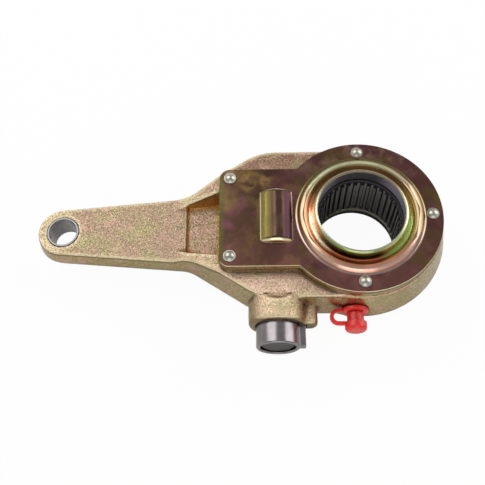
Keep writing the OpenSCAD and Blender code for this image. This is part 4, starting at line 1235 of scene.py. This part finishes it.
class SLACK_OT_stage(bpy.types.Operator):
    """Sets the pale floor, the soft lamps and the camera of the photograph"""

    bl_idname = "slack.stage"
    bl_label = "Stage"

    def execute(self, context):
        given = context.scene.slack_stage
        self.floor(given)
        self.lights(context, given)
        self.camera(context, given)
        context.scene.view_settings.view_transform = "Standard"
        return {"FINISHED"}

    def floor(self, given):
        """A wide floor under the part, near white to the camera."""
        mesh = bpy.data.meshes.new("floor")
        level = CAD_LOW[2] - FLOOR_GAP
        corners = [(x * FLOOR_HALF, y * FLOOR_HALF, level) for x, y in ((-1, -1), (1, -1), (1, 1), (-1, 1))]
        mesh.from_pydata(corners, [], [(0, 1, 2, 3)])
        floor = bpy.data.objects.new("floor", mesh)
        bpy.context.scene.collection.objects.link(floor)
        material = bpy.data.materials.new("pale floor")
        material.use_nodes = True
        tree = material.node_tree
        tree.nodes.clear()
        matt = add_node(tree, "ShaderNodeBsdfDiffuse", {"Color": given.floor_colour})
        glow = add_node(tree, "ShaderNodeEmission", {"Strength": 1.0})
        path = add_node(tree, "ShaderNodeLightPath").outputs
        share = times(tree, path["Is Camera Ray"], given.floor_glow)
        both = add_node(tree, "ShaderNodeMixShader", {0: share, 1: matt.outputs[0], 2: glow.outputs[0]})
        leave = tree.nodes.new("ShaderNodeOutputMaterial")
        tree.links.new(both.outputs[0], leave.inputs["Surface"])
        mesh.materials.append(material)
        floor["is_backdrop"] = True

    def lights(self, context, given):
        """An even dome, white to the camera, and three softboxes."""
        world = bpy.data.worlds.new("studio")
        world.use_nodes = True
        tree = world.node_tree
        tree.nodes.clear()
        seen = add_node(tree, "ShaderNodeLightPath").outputs["Is Camera Ray"]
        height = parts(tree, add_node(tree, "ShaderNodeTexCoord").outputs["Generated"])["Z"]
        dome = remap(tree, height, *WALL_ENDS, given.wall_light, given.sky_light)
        light = add_node(tree, "ShaderNodeMapRange", {"Value": seen, "To Min": dome, "To Max": 1.0})
        sky = add_node(tree, "ShaderNodeBackground", {"Color": (1, 1, 1, 1), "Strength": light.outputs[0]})
        leave = tree.nodes.new("ShaderNodeOutputWorld")
        tree.links.new(sky.outputs[0], leave.inputs["Surface"])
        context.scene.world = world
        for name, (place_at, width, tall, share) in SOFTBOXES.items():
            softbox(name, place_at, SOFTBOX_AIM, width, tall, share * given.box_light)

    def camera(self, context, given):
        """The photograph's camera."""
        ahead, right = Vector(given.camera_ahead), Vector(given.camera_right)
        turn = Matrix((right, right.cross(ahead), -ahead)).transposed()
        lens = bpy.data.cameras.new("camera")
        lens.lens = given.lens
        lens.clip_start = NEAREST_SEEN
        camera = bpy.data.objects.new("camera", lens)
        camera.matrix_world = Matrix.Translation(given.camera_place) @ turn.to_4x4()
        context.scene.collection.objects.link(camera)
        context.scene.camera = camera


SETTINGS = {
    "slack_casting": CastingSettings,
    "slack_cover": CoverSettings,
    "slack_steel": SteelSettings,
    "slack_cap": CapSettings,
    "slack_stage": StageSettings,
}
OPERATORS = (SLACK_OT_cast_body, SLACK_OT_covers, SLACK_OT_steel_parts, SLACK_OT_grease_cap, SLACK_OT_stage)


class SLACK_PT_panel(bpy.types.Panel):
    """Lists the steps that dress the slack adjuster"""

    bl_label = "Slack adjuster"
    bl_space_type = "VIEW_3D"
    bl_region_type = "UI"
    bl_category = "Slack adjuster"

    def draw(self, context):
        for operator in OPERATORS:
            self.layout.operator(operator.bl_idname)
        for key, group in SETTINGS.items():
            box = self.layout.box()
            for name in group.__annotations__:
                box.prop(getattr(context.scene, key), name)


CLASSES = (*SETTINGS.values(), *OPERATORS, SLACK_PT_panel)


def register():
    for made in CLASSES:
        bpy.utils.register_class(made)
    for key, group in SETTINGS.items():
        setattr(bpy.types.Scene, key, bpy.props.PointerProperty(type=group))


def unregister():
    for key in SETTINGS:
        delattr(bpy.types.Scene, key)
    for made in reversed(CLASSES):
        bpy.utils.unregister_class(made)


def main():
    register()
    make_groups()
    bpy.ops.slack.cast_body()
    bpy.ops.slack.covers()
    bpy.ops.slack.steel_parts()
    bpy.ops.slack.grease_cap()
    bpy.ops.slack.stage()


if __name__ == "__main__":
    main()
